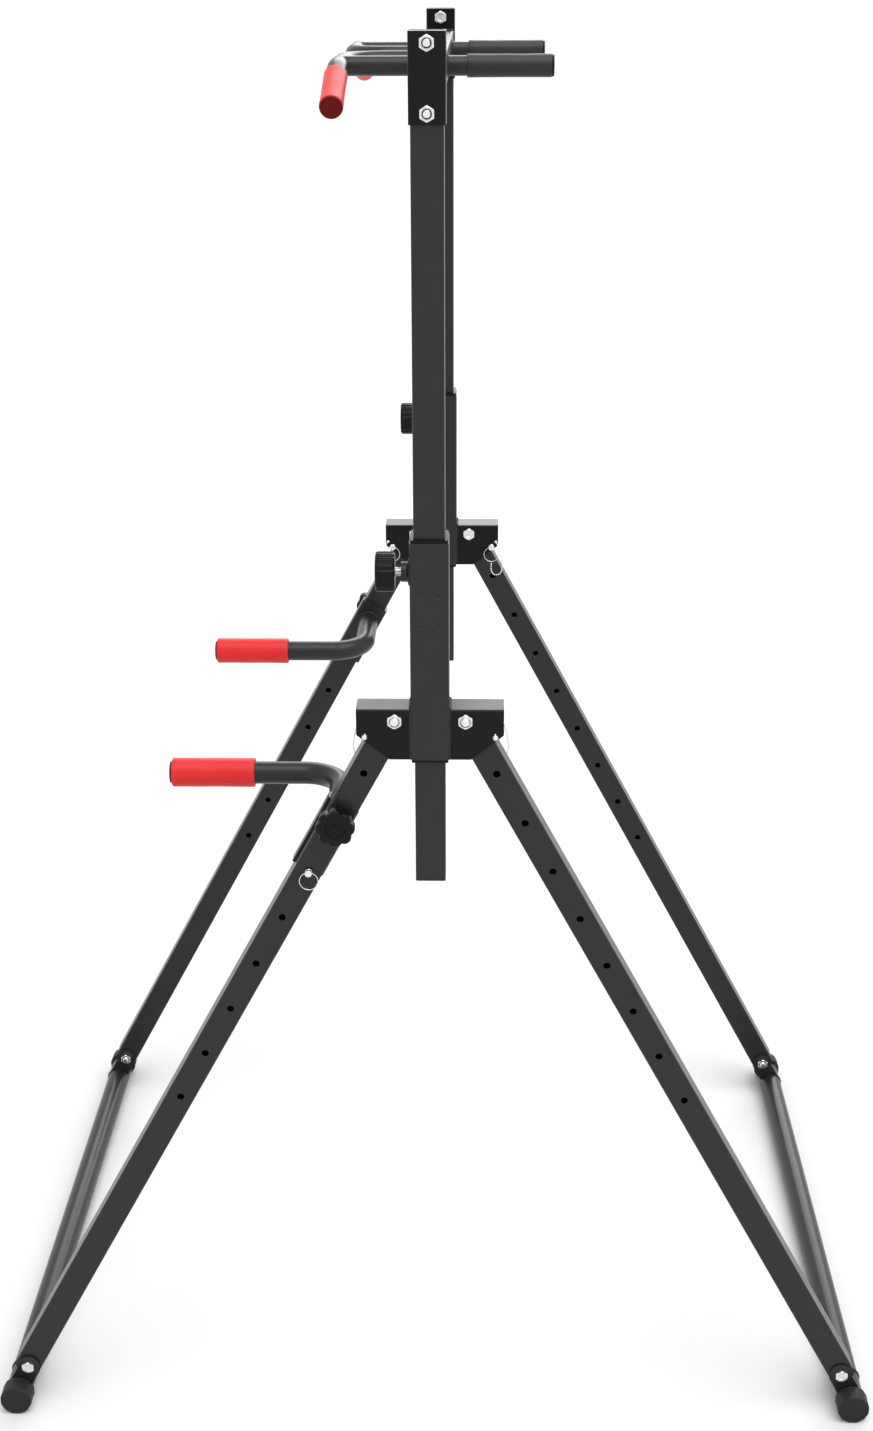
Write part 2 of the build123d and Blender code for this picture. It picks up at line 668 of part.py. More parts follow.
def rear_grip_plug():
    rear_end = (parallel_grip_offset, rear_grip_reach, crossbar_height)
    return tube_plug(grip_tube_diameter, grip_tube_wall, rear_foam_diameter - plug_rim, rear_end, (0, 1, 0))


right_post = drill_top(post())
nodes["post_right"] = right_post
nodes["post_left"] = left_copy(right_post)
plugs = [post_plug(post_top, 1), post_plug(post_bottom, -1)]
sliding_sets = {
    "post_plugs": plugs,
    "post_brackets": [drill_top(top_bracket())],
    "crossbar_fasteners": top_fasteners(),
    "wide_grip_tubes": [wide_grip_tube()],
    "wide_grip_foams": [wide_foam()],
    "front_grip_tubes": [front_grip_tube()],
    "rear_grip_tubes": [rear_grip_tube()],
    "rear_grip_foams": [rear_foam()],
    "wide_grip_plugs": [wide_grip_plug()],
    "rear_grip_plugs": [rear_grip_plug()],
}
nodes["crossbar"] = crossbar()
for name, pieces in sliding_sets.items():
    nodes[name] = group(pieces + [left_copy(piece) for piece in pieces])


# ---- dip handles on the front legs ----
saddle_inside = leg_size / 2 + saddle_gap
saddle_outside = saddle_inside + saddle_plate
saddle_start = star_hole_at - saddle_above_knob
saddle_end = ring_hole_at + saddle_below_pin


def dip_saddle():
    """Channel over the inboard side of the leg, with holes for the star knob and the ring pin."""
    length = saddle_end - saddle_start
    middle = -(saddle_start + saddle_end) / 2
    x_web = -saddle_outside
    x_lip = -leg_size / 2 + saddle_lap
    block = Pos((x_web + x_lip) / 2, 0, middle) * Box(x_lip - x_web, 2 * saddle_outside, length)
    block = fillet(block.edges().filter_by(Axis.Z).group_by(Axis.X)[0], saddle_plate)
    inside = Box(x_lip + saddle_inside, 2 * saddle_inside, length)
    block -= Pos((x_lip - saddle_inside) / 2, 0, middle) * inside
    for along in (star_hole_at, ring_hole_at):
        block -= rod(leg_hole / 2, (-leg_size, 0, -along), (0, 0, -along))
    return front_copy(on_leg(block))


weld_y, weld_z = leg_point(star_hole_at + dip_weld_below_knob, -dip_weld_inward)
dip_web_x = half_spacing - saddle_outside


def dip_tube():
    """From the saddle inboard, round an elbow and forward to the grip."""
    points = [(dip_web_x, -weld_y, weld_z), (dip_grip_offset, -weld_y, weld_z),
              (dip_grip_offset, -dip_grip_end, weld_z)]
    return bent_tube(points, [dip_elbow], dip_tube_diameter, dip_tube_wall)


def dip_foam():
    return pipe(dip_foam_diameter, (dip_foam_diameter - dip_tube_diameter) / 2,
                (dip_grip_offset, -dip_grip_end + dip_foam_length, weld_z),
                (dip_grip_offset, -dip_grip_end, weld_z))


def dip_plug():
    dip_end = (dip_grip_offset, -dip_grip_end, weld_z)
    return tube_plug(dip_tube_diameter, dip_tube_wall, dip_tube_diameter, dip_end, (0, -1, 0))


def star_knob():
    """Lobed knob on the outboard side of the leg, with its stud through the leg into the saddle."""
    x_face = half_spacing + leg_size / 2 + star_gap
    x_lobes = x_face + star_boss_length
    plane = Plane(origin=(x_lobes, -star_y, star_z), x_dir=(0, 1, 0), z_dir=(1, 0, 0))
    ring_radius = star_knob_diameter / 2 - star_lobe_radius
    sketch = Circle(ring_radius + star_web)
    for index in range(star_knob_lobes):
        turn = 2 * math.pi * index / star_knob_lobes
        sketch += Pos(ring_radius * math.cos(turn), ring_radius * math.sin(turn)) * Circle(star_lobe_radius)
    body = extrude(plane * sketch, star_knob_thickness, dir=(1, 0, 0))
    boss = rod(star_boss_diameter / 2, (x_face, -star_y, star_z), (x_lobes, -star_y, star_z))
    stud = rod(star_stud / 2 - stud_gap, (dip_web_x + star_gap, -star_y, star_z), (x_face, -star_y, star_z))
    return body + boss + stud


right_dip = {
    "dip_saddle": dip_saddle(),
    "dip_tube": dip_tube(),
    "dip_foam": dip_foam(),
    "dip_plug": dip_plug(),
    "star_knob": star_knob(),
}
for name, shape in right_dip.items():
    nodes[name + "_right"] = shape
    nodes[name + "_left"] = left_copy(shape)


# ---- retaining chains of the lock pins ----
rivet_y = lock_y + rivet_outward
rivet_z = lock_z + rivet_rise
rivet_face = half_spacing - cheek_outside - rivet_height
chain_top_x = rivet_face - chain_diameter / 2 - chain_gap
ring_foot_z = lock_z - ring_diameter - ring_wire / 2 - chain_gap


def chain_rivet():
    """Rivet that holds the chain's end on the inboard cheek of the leg bracket."""
    return rod(rivet_diameter / 2, (rivet_face, rivet_y, rivet_z),
               (rivet_face + rivet_height, rivet_y, rivet_z))


# Chosen by hand: from under the split ring, down in a loop, and up beside the bracket to the rivet.
chain_points = [
    (chain_x, lock_y, ring_foot_z),
    (chain_x + 0.3, lock_y - 0.6, ring_foot_z - 8.2),
    (chain_x + 0.5, lock_y + 0.2, ring_foot_z - 16.4),
    (chain_x + 0.6, lock_y + 3.5, ring_foot_z - 21.4),
    (chain_x + 0.8, lock_y + 8.8, ring_foot_z - 23.2),
    (chain_x + 1.0, lock_y + 14.1, ring_foot_z - 21.4),
    (chain_x + 1.2, lock_y + 17.4, ring_foot_z - 16.6),
    (chain_x + 1.4, lock_y + 18.6, ring_foot_z - 9.6),
    (chain_x + 1.7, lock_y + 18.4, ring_foot_z - 1.4),
    (chain_x + 2.0, lock_y + 17.4, ring_foot_z + 7.4),
    (chain_x + 2.3, lock_y + 14.9, ring_foot_z + 17.0),
    (chain_x + 2.6, lock_y + 11.8, ring_foot_z + 26.6),
    (chain_top_x, rivet_y + 0.6, rivet_z + 1.0),
]


def turn_radii(points):
    """Arc radius at each inner point: 0.45 of the shorter run over the tangent of half the turn."""
    radii = []
    for before, here, after in zip(points, points[1:], points[2:]):
        arriving = Vector(*here) - Vector(*before)
        leaving = Vector(*after) - Vector(*here)
        half_turn = math.radians(arriving.get_angle(leaving)) / 2
        radii.append(0.45 * min(arriving.length, leaving.length) / math.tan(half_turn))
    return radii


def chain():
    """Bead chain between the split ring and the rivet, as the plain bar that its beads fill."""
    radii = turn_radii(chain_points)
    bar = bent_tube(chain_points, radii, chain_diameter)
    path = FilletPolyline(*chain_points, radius=radii)
    share = bar.volume / (math.pi * chain_diameter ** 2 / 4 * path.length)
    print("chain length", round(path.length, 1), "volume share", round(share, 4))
    print("chain radii", [round(radius, 1) for radius in radii])
    return bar


right_rivet = chain_rivet()
rivets = [right_rivet, front_copy(right_rivet)]
nodes["chain_rivets"] = group(rivets + [left_copy(rivet) for rivet in rivets])
rear_right_chain = chain()
nodes["chain_rear_right"] = rear_right_chain
nodes["chain_rear_left"] = left_copy(rear_right_chain)
nodes["chain_front_right"] = front_copy(rear_right_chain)
nodes["chain_front_left"] = front_copy(left_copy(rear_right_chain))

os.makedirs("parts", exist_ok=True)
for name, shape in nodes.items():
    export_step(shape, f"parts/{name}.step")
print(len(nodes), "nodes")
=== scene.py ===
# %% [markdown]
# # A folding pull-up and dip station
# The station has two telescoping posts, four splayed legs on two round base tubes, foam grips,
# dip handles, and knobs and pins that are undone to fold it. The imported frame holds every
# welded tube in its right place. This lesson gives those tubes their powder coat, and builds
# the small things that a hand touches: foams, knobs, pins, nuts, chains, caps and weld beads.

# %% Load the frame
import json
import math

import bpy
import numpy as np
from mathutils import Matrix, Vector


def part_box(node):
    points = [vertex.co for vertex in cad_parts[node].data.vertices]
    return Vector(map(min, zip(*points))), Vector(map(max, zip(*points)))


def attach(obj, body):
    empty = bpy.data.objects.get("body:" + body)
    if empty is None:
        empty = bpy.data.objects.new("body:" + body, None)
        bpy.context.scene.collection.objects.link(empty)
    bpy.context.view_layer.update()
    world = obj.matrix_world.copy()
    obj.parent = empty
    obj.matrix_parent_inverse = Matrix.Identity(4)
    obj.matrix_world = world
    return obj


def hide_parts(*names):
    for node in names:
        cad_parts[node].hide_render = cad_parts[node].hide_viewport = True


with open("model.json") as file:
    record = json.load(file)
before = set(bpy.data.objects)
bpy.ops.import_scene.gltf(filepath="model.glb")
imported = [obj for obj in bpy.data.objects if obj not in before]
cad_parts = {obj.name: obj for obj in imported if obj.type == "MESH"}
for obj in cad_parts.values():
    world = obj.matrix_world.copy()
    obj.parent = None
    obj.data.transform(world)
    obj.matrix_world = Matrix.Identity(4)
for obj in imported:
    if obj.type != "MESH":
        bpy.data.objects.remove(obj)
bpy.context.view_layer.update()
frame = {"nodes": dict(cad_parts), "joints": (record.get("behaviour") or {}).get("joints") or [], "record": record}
MM = 0.001
SIDES = {"right": 1, "left": -1}
ENDS = {"rear": 1, "front": -1}


def box(node):
    """Lowest and highest corner of a node, as arrays."""
    low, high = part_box(node)
    return np.array(low, float), np.array(high, float)


def middle(node):
    low, high = box(node)
    return (low + high) / 2


# %% [markdown]
# ## The camera
# A person's eye sees the station almost end on, from a little above its top bar. The camera is
# a plain 50 mm lens aimed by three angles: down, to the side, and a hair of roll. Building its
# turn from the three directions right, up and back keeps the angles readable.

# %% Aim the camera
CAMERA_PLACE = (2.8604, 0.0603, 2.0340)
CAMERA_DOWN, CAMERA_SIDE, CAMERA_ROLL = np.radians([21.138, 1.236, -0.214])


def aim_camera(place, down, side, roll, lens):
    """Camera that looks along -X, tipped down, turned to the side and rolled by these angles."""
    forward = -np.array([math.cos(down) * math.cos(side), math.cos(down) * math.sin(side), math.sin(down)])
    level_right = np.array([-math.sin(side), math.cos(side), 0.0])
    level_up = np.cross(level_right, forward)
    right = math.cos(roll) * level_right + math.sin(roll) * level_up
    up = math.cos(roll) * level_up - math.sin(roll) * level_right
    data = bpy.data.cameras.new("studio_camera")
    data.lens = lens
    data.sensor_width = 36.0
    camera = bpy.data.objects.new("studio_camera", data)
    turn = Matrix(np.column_stack([right, up, -forward]).tolist()).to_4x4()
    camera.matrix_world = Matrix.Translation(place) @ turn
    bpy.context.scene.collection.objects.link(camera)
    bpy.context.scene.camera = camera


aim_camera(CAMERA_PLACE, CAMERA_DOWN, CAMERA_SIDE, CAMERA_ROLL, 50.0)
print("camera at", CAMERA_PLACE)

# %% [markdown]
# ## Shells on grids
# Nearly every small part here was turned on a lathe or bent from wire, so its skin is a grid:
# rows along an axis or a path, and columns round it. Working the whole grid out as one array
# is quicker and clearer than adding vertices one by one. A shell is its points and its faces,
# and several shells join into one piece.

# %% Shells: points and faces
AXIS_X, AXIS_Y, AXIS_Z = np.eye(3)


def across(axis):
    """Unit axis and two unit directions square to it, right-handed."""
    axis = np.asarray(axis, float) / np.linalg.norm(axis)
    helper = AXIS_X if abs(axis[2]) > 0.9 else AXIS_Z
    side = np.cross(helper, axis)
    side /= np.linalg.norm(side)
    return axis, side, np.cross(axis, side)


def shell_of(grid, ring=False):
    """Quads over rows of points that close on themselves, with a flat face on each end, or a closed ring."""
    rows, columns = grid.shape[:2]
    here = np.arange(rows * columns).reshape(rows, columns)
    after = np.roll(here, -1, axis=0) if ring else here[1:]
    here_kept = here if ring else here[:-1]
    quads = np.stack([here_kept, np.roll(here_kept, -1, axis=1), np.roll(after, -1, axis=1), after], axis=-1)
    faces = quads.reshape(-1, 4).tolist()
    if not ring:
        faces += [here[0, ::-1].tolist(), here[-1].tolist()]
    return grid.reshape(-1, 3), faces


def turned(start, axis, along, radius, columns=48):
    """start + along·axis + radius·(cos turn·side + sin turn·other). radius may change with the turn."""
    axis, side, other = across(axis)
    turn = np.linspace(0, 2 * np.pi, columns, endpoint=False)
    along = np.asarray(along, float).reshape(-1, 1)
    radius = np.asarray(radius, float)
    radius = np.broadcast_to(radius.reshape(-1, 1) if radius.ndim < 2 else radius, (len(along), columns))
    round_it = np.cos(turn)[:, None] * side + np.sin(turn)[:, None] * other
    grid = np.asarray(start, float) + along[..., None] * axis + radius[..., None] * round_it
    return shell_of(grid)


def swept(path, radius, columns=16, ring=False):
    """Round section carried along a path: each point + radius·(cos turn·side + sin turn·other)."""
    path = np.asarray(path, float)
    ahead = (np.roll(path, -1, 0) - np.roll(path, 1, 0)) if ring else np.gradient(path, axis=0)
    ahead /= np.linalg.norm(ahead, axis=1, keepdims=True)
    spread = path.max(0) - path.min(0)
    helper = np.eye(3)[int(np.argmin(spread))]
    side = np.cross(helper, ahead)
    side /= np.linalg.norm(side, axis=1, keepdims=True)
    other = np.cross(ahead, side)
    turn = np.linspace(0, 2 * np.pi, columns, endpoint=False)
    radius = np.broadcast_to(np.asarray(radius, float), (len(path),))[:, None, None]
    round_it = np.cos(turn)[None, :, None] * side[:, None] + np.sin(turn)[None, :, None] * other[:, None]
    return shell_of(path[:, None] + radius * round_it, ring)


def mirrored(shells, x=1, y=1):
    """The same shells on another side. An odd number of mirrors turns the faces round again."""
    signs = np.array([x, y, 1.0])
    if x * y > 0:
        return [(points * signs, faces) for points, faces in shells]
    return [(points * signs, [face[::-1] for face in faces]) for points, faces in shells]


def four_sides(shells):
    """Copies for both frames and both ends."""
    return [copy for x in SIDES.values() for y in ENDS.values() for copy in mirrored(shells, x, y)]


def both_frames(shells):
    return [copy for x in SIDES.values() for copy in mirrored(shells, x)]


# %% [markdown]
# ## Finishes written as sums
# A finish is a small graph of nodes. Wiring nodes by hand hides the sum that they do, so a
# small class wraps a socket and lets +, -, × and powers add the Math nodes. One method adds
# any other node: its type, its settings, and what goes into its sockets.

# %% Shader values and nodes
class Value:
    """A number or colour that leaves a node, for use in plain expressions."""

    def __init__(self, finish, socket):
        self.finish = finish
        self.socket = socket

    def maths(self, operation, first, second):
        return self.finish.node("ShaderNodeMath", {"operation": operation}, {0: first, 1: second})

    def __add__(self, other):
        return self.maths("ADD", self, other)

    def __sub__(self, other):
        return self.maths("SUBTRACT", self, other)

    def __rsub__(self, other):
        return self.maths("SUBTRACT", other, self)

    def __mul__(self, other):
        return self.maths("MULTIPLY", self, other)

    def __pow__(self, other):
        return self.maths("POWER", self, other)

    __radd__ = __add__
    __rmul__ = __mul__


class Finish:
    """A material in the making: a principled shader, and a method that adds any node."""

    def __init__(self, name, **sockets):
        self.material = bpy.data.materials.new(name)
        self.material.use_nodes = True
        self.tree = self.material.node_tree
        self.tree.nodes.clear()
        self.shader = self.tree.nodes.new("ShaderNodeBsdfPrincipled")
        output = self.tree.nodes.new("ShaderNodeOutputMaterial")
        self.tree.links.new(self.shader.outputs[0], output.inputs["Surface"])
        self.place = self.node("ShaderNodeTexCoord", output="Object")
        for name, value in sockets.items():
            self.feed(self.shader.inputs[name.replace("_", " ")], value)

    def feed(self, socket, value):
        """Links a value into a socket, or sets the socket to a number or colour."""
        if isinstance(value, Value):
            self.tree.links.new(value.socket, socket)
        else:
            socket.default_value = value

    def node(self, kind, settings=None, sockets=None, output=0):
        """Any node: its settings first, then its sockets, and the value that leaves it."""
        made = self.tree.nodes.new(kind)
        for name, value in (settings or {}).items():
            if name == "stops":
                for stop, (place, shade) in zip(self.ramp_stops(made, len(value)), value):
                    stop.position = place
                    stop.color = (shade, shade, shade, 1.0)
            else:
                setattr(made, name, value)
        for name, value in (sockets or {}).items():
            self.feed(made.inputs[name], value)
        return Value(self, made.outputs[output])

    def ramp_stops(self, ramp, count):
        while len(ramp.color_ramp.elements) < count:
            ramp.color_ramp.elements.new(0.5)
        return ramp.color_ramp.elements

    def noise(self, scale, detail=2.0, roughness=0.5):
        """Soft noise of this many lumps to a metre, from 0 to 1."""
        sockets = {"Vector": self.place, "Scale": scale, "Detail": detail, "Roughness": roughness}
        return self.node("ShaderNodeTexNoise", sockets=sockets)

    def mask(self, value, low, high):
        """0 below low, 1 above high, and smooth between them."""
        settings = {"interpolation_type": "SMOOTHSTEP"}
        return self.node("ShaderNodeMapRange", settings, {"Value": value, "From Min": low, "From Max": high})

    def between(self, factor, first, second):
        """A colour from first to second as factor goes from 0 to 1."""
        shades = {0: factor, 6: (*first, 1.0), 7: (*second, 1.0)}
        return self.node("ShaderNodeMix", {"data_type": "RGBA"}, shades, output=2)

    def colour(self, value):
        self.feed(self.shader.inputs["Base Color"], value)

    def roughness(self, value):
        self.feed(self.shader.inputs["Roughness"], value)

    def bump(self, height, strength, depth):
        """Raises the surface by height times depth, in metres."""
        sockets = {"Height": height, "Strength": strength, "Distance": depth}
        bumped = self.node("ShaderNodeBump", sockets=sockets)
        self.feed(self.shader.inputs["Normal"], bumped)


# %% [markdown]
# ## The finishes
# Satin black powder coat covers all the welded steel. Melted powder never lies quite flat: it
# has a fine orange peel, slow waves, and here and there a paler rub. The pressed brackets have a
# darker paint than the tubes, made by the same function. Bright zinc on bolts and pins is a
# cool metal with cloudy patches. The foam is a closed-cell sleeve with tiny pores.

# %% Powder coat
def powder_coat(name, dark, light, shine, roughness, coat):
    """Black paint between two shades. Melted powder lies in waves, and its rubs are paler and duller."""
    finish = Finish(name, Specular_IOR_Level=shine, Coat_Roughness=0.2, Coat_IOR=1.4)
    peel = finish.noise(780.0, 2.0)
    waves = finish.noise(26.0, 3.0)
    rubs = finish.mask(finish.noise(150.0, 6.0, 0.72), 0.62, 0.76) * finish.mask(waves, 0.5, 0.66)
    finish.colour(finish.between(waves * 0.6 + rubs * 0.4, dark, light))
    finish.roughness(roughness + waves * 0.08 + rubs * 0.1)
    finish.feed(finish.shader.inputs["Coat Weight"], coat - rubs * 0.6 * coat)
    finish.bump(peel + waves * 0.4, 0.25, 0.0001)
    return finish.material


def zinc():
    finish = Finish("bright_zinc", Metallic=1.0)
    clouds = finish.noise(90.0, 4.0, 0.6)
    brushed = finish.noise(1900.0, 2.0)
    finish.colour(finish.between(clouds, (0.86, 0.86, 0.85), (0.66, 0.67, 0.69)))
    finish.roughness(0.13 + clouds * 0.14 + brushed * 0.05)
    finish.bump(brushed, 0.2, 0.00004)
    return finish.material


def foam(name, dark, light, shine):
    """Closed-cell foam: pores from small cells, and slow patches where hands have rubbed it."""
    finish = Finish(name, Sheen_Weight=0.06, Sheen_Roughness=0.4, Specular_IOR_Level=shine)
    cells = finish.node("ShaderNodeTexVoronoi", sockets={"Vector": finish.place, "Scale": 1150.0})
    pores = finish.mask(cells, 0.12, 0.5)
    patches = finish.noise(42.0, 3.0)
    finish.colour(finish.between(pores * 0.55 + patches * 0.45, dark, light))
    finish.roughness(0.4 + patches * 0.12)
    finish.bump(pores + finish.noise(300.0, 3.0) * 0.8, 0.35, 0.00014)
    return finish.material


def moulded(name, shade, shine, gloss_roughness, grain, grain_depth):
    """Moulded plastic or rubber: one dark shade with a fine eroded grain."""
    finish = Finish(name, Specular_IOR_Level=shine)
    speck = finish.noise(grain, 4.0, 0.65)
    wide = finish.noise(35.0, 2.0)
    lighter = tuple(value * 1.7 + 0.001 for value in shade)
    finish.colour(finish.between(speck * 0.5 + wide * 0.5, shade, lighter))
    finish.roughness(gloss_roughness + wide * 0.12)
    finish.bump(speck, 0.4, grain_depth)
    return finish.material


FINISHES = {
    "black_powder_coat": powder_coat("black_powder_coat", (0.008, 0.008, 0.0085), (0.016, 0.016, 0.0165),
                                     0.26, 0.36, 0.22),
    "zinc_steel": zinc(),
    "red_foam": foam("red_foam", (0.42, 0.003, 0.004), (0.66, 0.009, 0.011), 0.36),
    "black_foam": foam("black_foam", (0.004, 0.004, 0.0043), (0.010, 0.010, 0.0105), 0.4),
    "knob_plastic": moulded("knob_plastic", (0.002, 0.002, 0.0022), 0.16, 0.3, 1300.0, 0.00008),
    "black_plastic": moulded("black_plastic", (0.002, 0.002, 0.0022), 0.14, 0.3, 900.0, 0.00005),
    # Dark red of the wide grip plugs: part the plastic's own colour, part painted shade, made darker to stand in
    # for the shade on their end faces.
    "dark_red_plastic": moulded("dark_red_plastic", (0.085, 0.0008, 0.0008), 0.12, 0.4, 900.0, 0.00005),
    "rubber": moulded("rubber", (0.008, 0.008, 0.0085), 0.24, 0.5, 700.0, 0.00012),
}
BRACKET_PAINT = powder_coat("black_bracket_paint", (0.0015, 0.0015, 0.0017), (0.0035, 0.0035, 0.0038),
                            0.13, 0.3, 0.14)
BRACKETS = ("leg_bracket_right", "leg_bracket_left", "post_brackets")
print("finishes", sorted(FINISHES))

# %% Dress the frame's own tubes
for part in frame["record"]["subparts"]:
    node = frame["nodes"][part["node"]]
    node.data.materials.clear()
    dressing = BRACKET_PAINT if part["node"] in BRACKETS else FINISHES[part["material_slot"]]
    node.data.materials.append(dressing)


# %% Make a piece from shells
def piece(name, shells, slot, body, replaces=(), crease=40.0):
    """One mesh from several shells, smooth but for edges sharper than crease degrees."""
    starts = np.cumsum([0] + [len(points) for points, _ in shells])
    points = np.concatenate([points for points, _ in shells])
    faces = [[corner + start for corner in face] for (_, shell), start in zip(shells, starts.tolist())
             for face in shell]
    mesh = bpy.data.meshes.new(name)
    mesh.from_pydata(points.tolist(), [], faces)
    mesh.shade_smooth()
    mesh.set_sharp_from_angle(angle=math.radians(crease))
    mesh.materials.append(FINISHES[slot])
    made = bpy.data.objects.new(name, mesh)
    bpy.context.scene.collection.objects.link(made)
    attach(made, body)
    if replaces:
        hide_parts(*replaces)
    return made


# %% [markdown]
# ## Retaining chains
# Each lock pin hangs on a short bead chain, so that it can't be lost. Hollow beads sit on a
# thin wire, and the chain is limp: it leaves the ring, drops, turns in a small loop and climbs
# beside the bracket to a rivet. A NURBS spline through a few listed points gives that
# fall, and the beads' radius is carried along it.

# %% Hang the bead chains
CHAIN_DIAMETER, CHAIN_LENGTH, BEAD_PITCH, WIRE_RADIUS = 2.4 * MM, 92.0 * MM, 2.8 * MM, 0.4 * MM
PIN_HEAD_RADIUS, RING_FROM_END = 4.75 * MM, 5.0 * MM
half_spacing = middle("post_right")[0]
lock_low, lock_high = box("lock_pin_rear_right")
lock_y = (lock_low[1] + lock_high[1]) / 2
lock_z = lock_high[2] - PIN_HEAD_RADIUS
RIVET_RADIUS = 2.5 * MM
RING_FOOT_DROP, CHAIN_TOP_INSET = 26.4 * MM, 26.7 * MM
rivet_low, rivet_high = box("chain_rivets")
rivet_y = rivet_high[1] - RIVET_RADIUS
rivet_z = (rivet_low[2] + rivet_high[2]) / 2
chain_x = lock_low[0] + RING_FROM_END
ring_foot_z = lock_z - RING_FOOT_DROP
chain_top_x = half_spacing - CHAIN_TOP_INSET
CHAIN_ROUTE = [
    (chain_x, lock_y, ring_foot_z),
    (chain_x + 0.3 * MM, lock_y - 0.6 * MM, ring_foot_z - 8.2 * MM),
    (chain_x + 0.5 * MM, lock_y + 0.2 * MM, ring_foot_z - 16.4 * MM),
    (chain_x + 0.6 * MM, lock_y + 3.5 * MM, ring_foot_z - 21.4 * MM),
    (chain_x + 0.8 * MM, lock_y + 8.8 * MM, ring_foot_z - 23.2 * MM),
    (chain_x + 1.0 * MM, lock_y + 14.1 * MM, ring_foot_z - 21.4 * MM),
    (chain_x + 1.2 * MM, lock_y + 17.4 * MM, ring_foot_z - 16.6 * MM),
    (chain_x + 1.4 * MM, lock_y + 18.6 * MM, ring_foot_z - 9.6 * MM),
    (chain_x + 1.7 * MM, lock_y + 18.4 * MM, ring_foot_z - 1.4 * MM),
    (chain_x + 2.0 * MM, lock_y + 17.4 * MM, ring_foot_z + 7.4 * MM),
    (chain_x + 2.3 * MM, lock_y + 14.9 * MM, ring_foot_z + 17.0 * MM),
    (chain_x + 2.6 * MM, lock_y + 11.8 * MM, ring_foot_z + 26.6 * MM),
    (chain_top_x, rivet_y + 0.6 * MM, rivet_z + 1.0 * MM),
]


def spline_line(points):
    """Points along a NURBS spline whose control points are the route."""
    curve = bpy.data.curves.new("route", "CURVE")
    curve.dimensions = "3D"
    curve.resolution_u = 24
    spline = curve.splines.new("NURBS")
    spline.points.add(len(points) - 1)
    spline.points.foreach_set("co", [value for point in points for value in (*point, 1.0)])
    spline.order_u = 3
    spline.use_endpoint_u = True
    holder = bpy.data.objects.new("route", curve)
    bpy.context.scene.collection.objects.link(holder)
    bpy.context.view_layer.update()
    line = bpy.data.meshes.new_from_object(holder.evaluated_get(bpy.context.evaluated_depsgraph_get()))
    found = np.empty(len(line.vertices) * 3)
    line.vertices.foreach_get("co", found)
    bpy.data.objects.remove(holder)
    bpy.data.meshes.remove(line)
    bpy.data.curves.remove(curve)
    return found.reshape(-1, 3)


def spaced(line, step):
    """The same line with points a step apart, and how far along it each lies."""
    along = np.concatenate([[0.0], np.cumsum(np.linalg.norm(np.diff(line, axis=0), axis=1))])
    places = np.linspace(0.0, along[-1], int(along[-1] / step) + 1)
    return np.column_stack([np.interp(places, along, line[:, k]) for k in range(3)]), places


CHAIN_STEP = 0.28 * MM
chain_line, chain_along = spaced(spline_line(CHAIN_ROUTE), CHAIN_STEP)
bead_offset = (chain_along + BEAD_PITCH / 2) % BEAD_PITCH - BEAD_PITCH / 2
bead_radius = np.sqrt(np.maximum((CHAIN_DIAMETER / 2) ** 2 - bead_offset ** 2, WIRE_RADIUS ** 2))
chain_shell = [swept(chain_line, bead_radius, 10)]
print("chain length", round(float(chain_along[-1]), 4), "beads", int(chain_along[-1] / BEAD_PITCH))
for end, y in ENDS.items():
    for side, x in SIDES.items():
        node = f"chain_{end}_{side}"
        chain = piece(f"bead_{node}", mirrored(chain_shell, x, y), "zinc_steel", "side_frames", [node], 60.0)


# %% [markdown]
# ## Nuts and bolts
# A hexagon's edge lies at half its width over the cosine of the angle from the nearest flat.
# Cutting that with a cone gives the round chamfer that every nut has on its face. A thread is
# a saw-tooth that climbs one pitch for each turn.

# %% Fastener shapes
HEAD_DISH = 0.7 * MM


def hexagon(flats, turn):
    """Half the width across flats over the cosine of the turn from the nearest flat's middle."""
    return flats / 2 / np.cos((turn + math.pi / 6) % (math.pi / 3) - math.pi / 6)


def hex_head(start, axis, flats, height):
    """Hexagonal prism, its outer face cut by a cone of 30 degrees and sunk in a shallow dish."""
    turn = np.linspace(0, 2 * np.pi, 48, endpoint=False)
    bevel = 0.12 * flats / 2
    edge = np.linspace(height - bevel, height, 6)
    along = np.concatenate([[0.0, 0.5 * height], edge, [height, height - HEAD_DISH]])
    cone = 0.96 * flats / 2 + (height - along) / math.tan(math.radians(30))
    radius = np.minimum(hexagon(flats, turn)[None, :], cone[:, None])
    radius[-2], radius[-1] = 0.62 * flats / 2, 0.52 * flats / 2
    return turned(start, axis, along, radius)


def thread(start, axis, length, diameter, pitch):
    """Threaded bar: radius less a saw-tooth of along over pitch minus the turn, with a chamfered tip."""
    turn = np.linspace(0, 2 * np.pi, 36, endpoint=False)
    along = np.linspace(0, length, int(length / pitch * 6) + 2)
    climb = (along[:, None] / pitch - turn[None, :] / (2 * np.pi)) % 1.0
    radius = diameter / 2 - 0.55 * pitch * np.abs(2 * climb - 1)
    radius = np.minimum(radius, diameter / 2 - pitch + (length - along)[:, None])
    return turned(start, axis, along, radius, 36)


def lock_nut(start, axis, flats, height, bolt_radius):
    """Hexagonal nut, and a round collar rolled over its insert down to the bolt."""
    top = np.asarray(start, float) + height * np.asarray(axis, float)
    collar_along = np.array([-0.5, 0.9, 1.5, 1.6, 0.4]) * MM
    collar_radius = np.array([0.42 * flats, 0.42 * flats, 0.40 * flats, 0.37 * flats, bolt_radius])
    collar = turned(top, axis, collar_along, collar_radius)
    return [hex_head(start, axis, flats, height), collar]


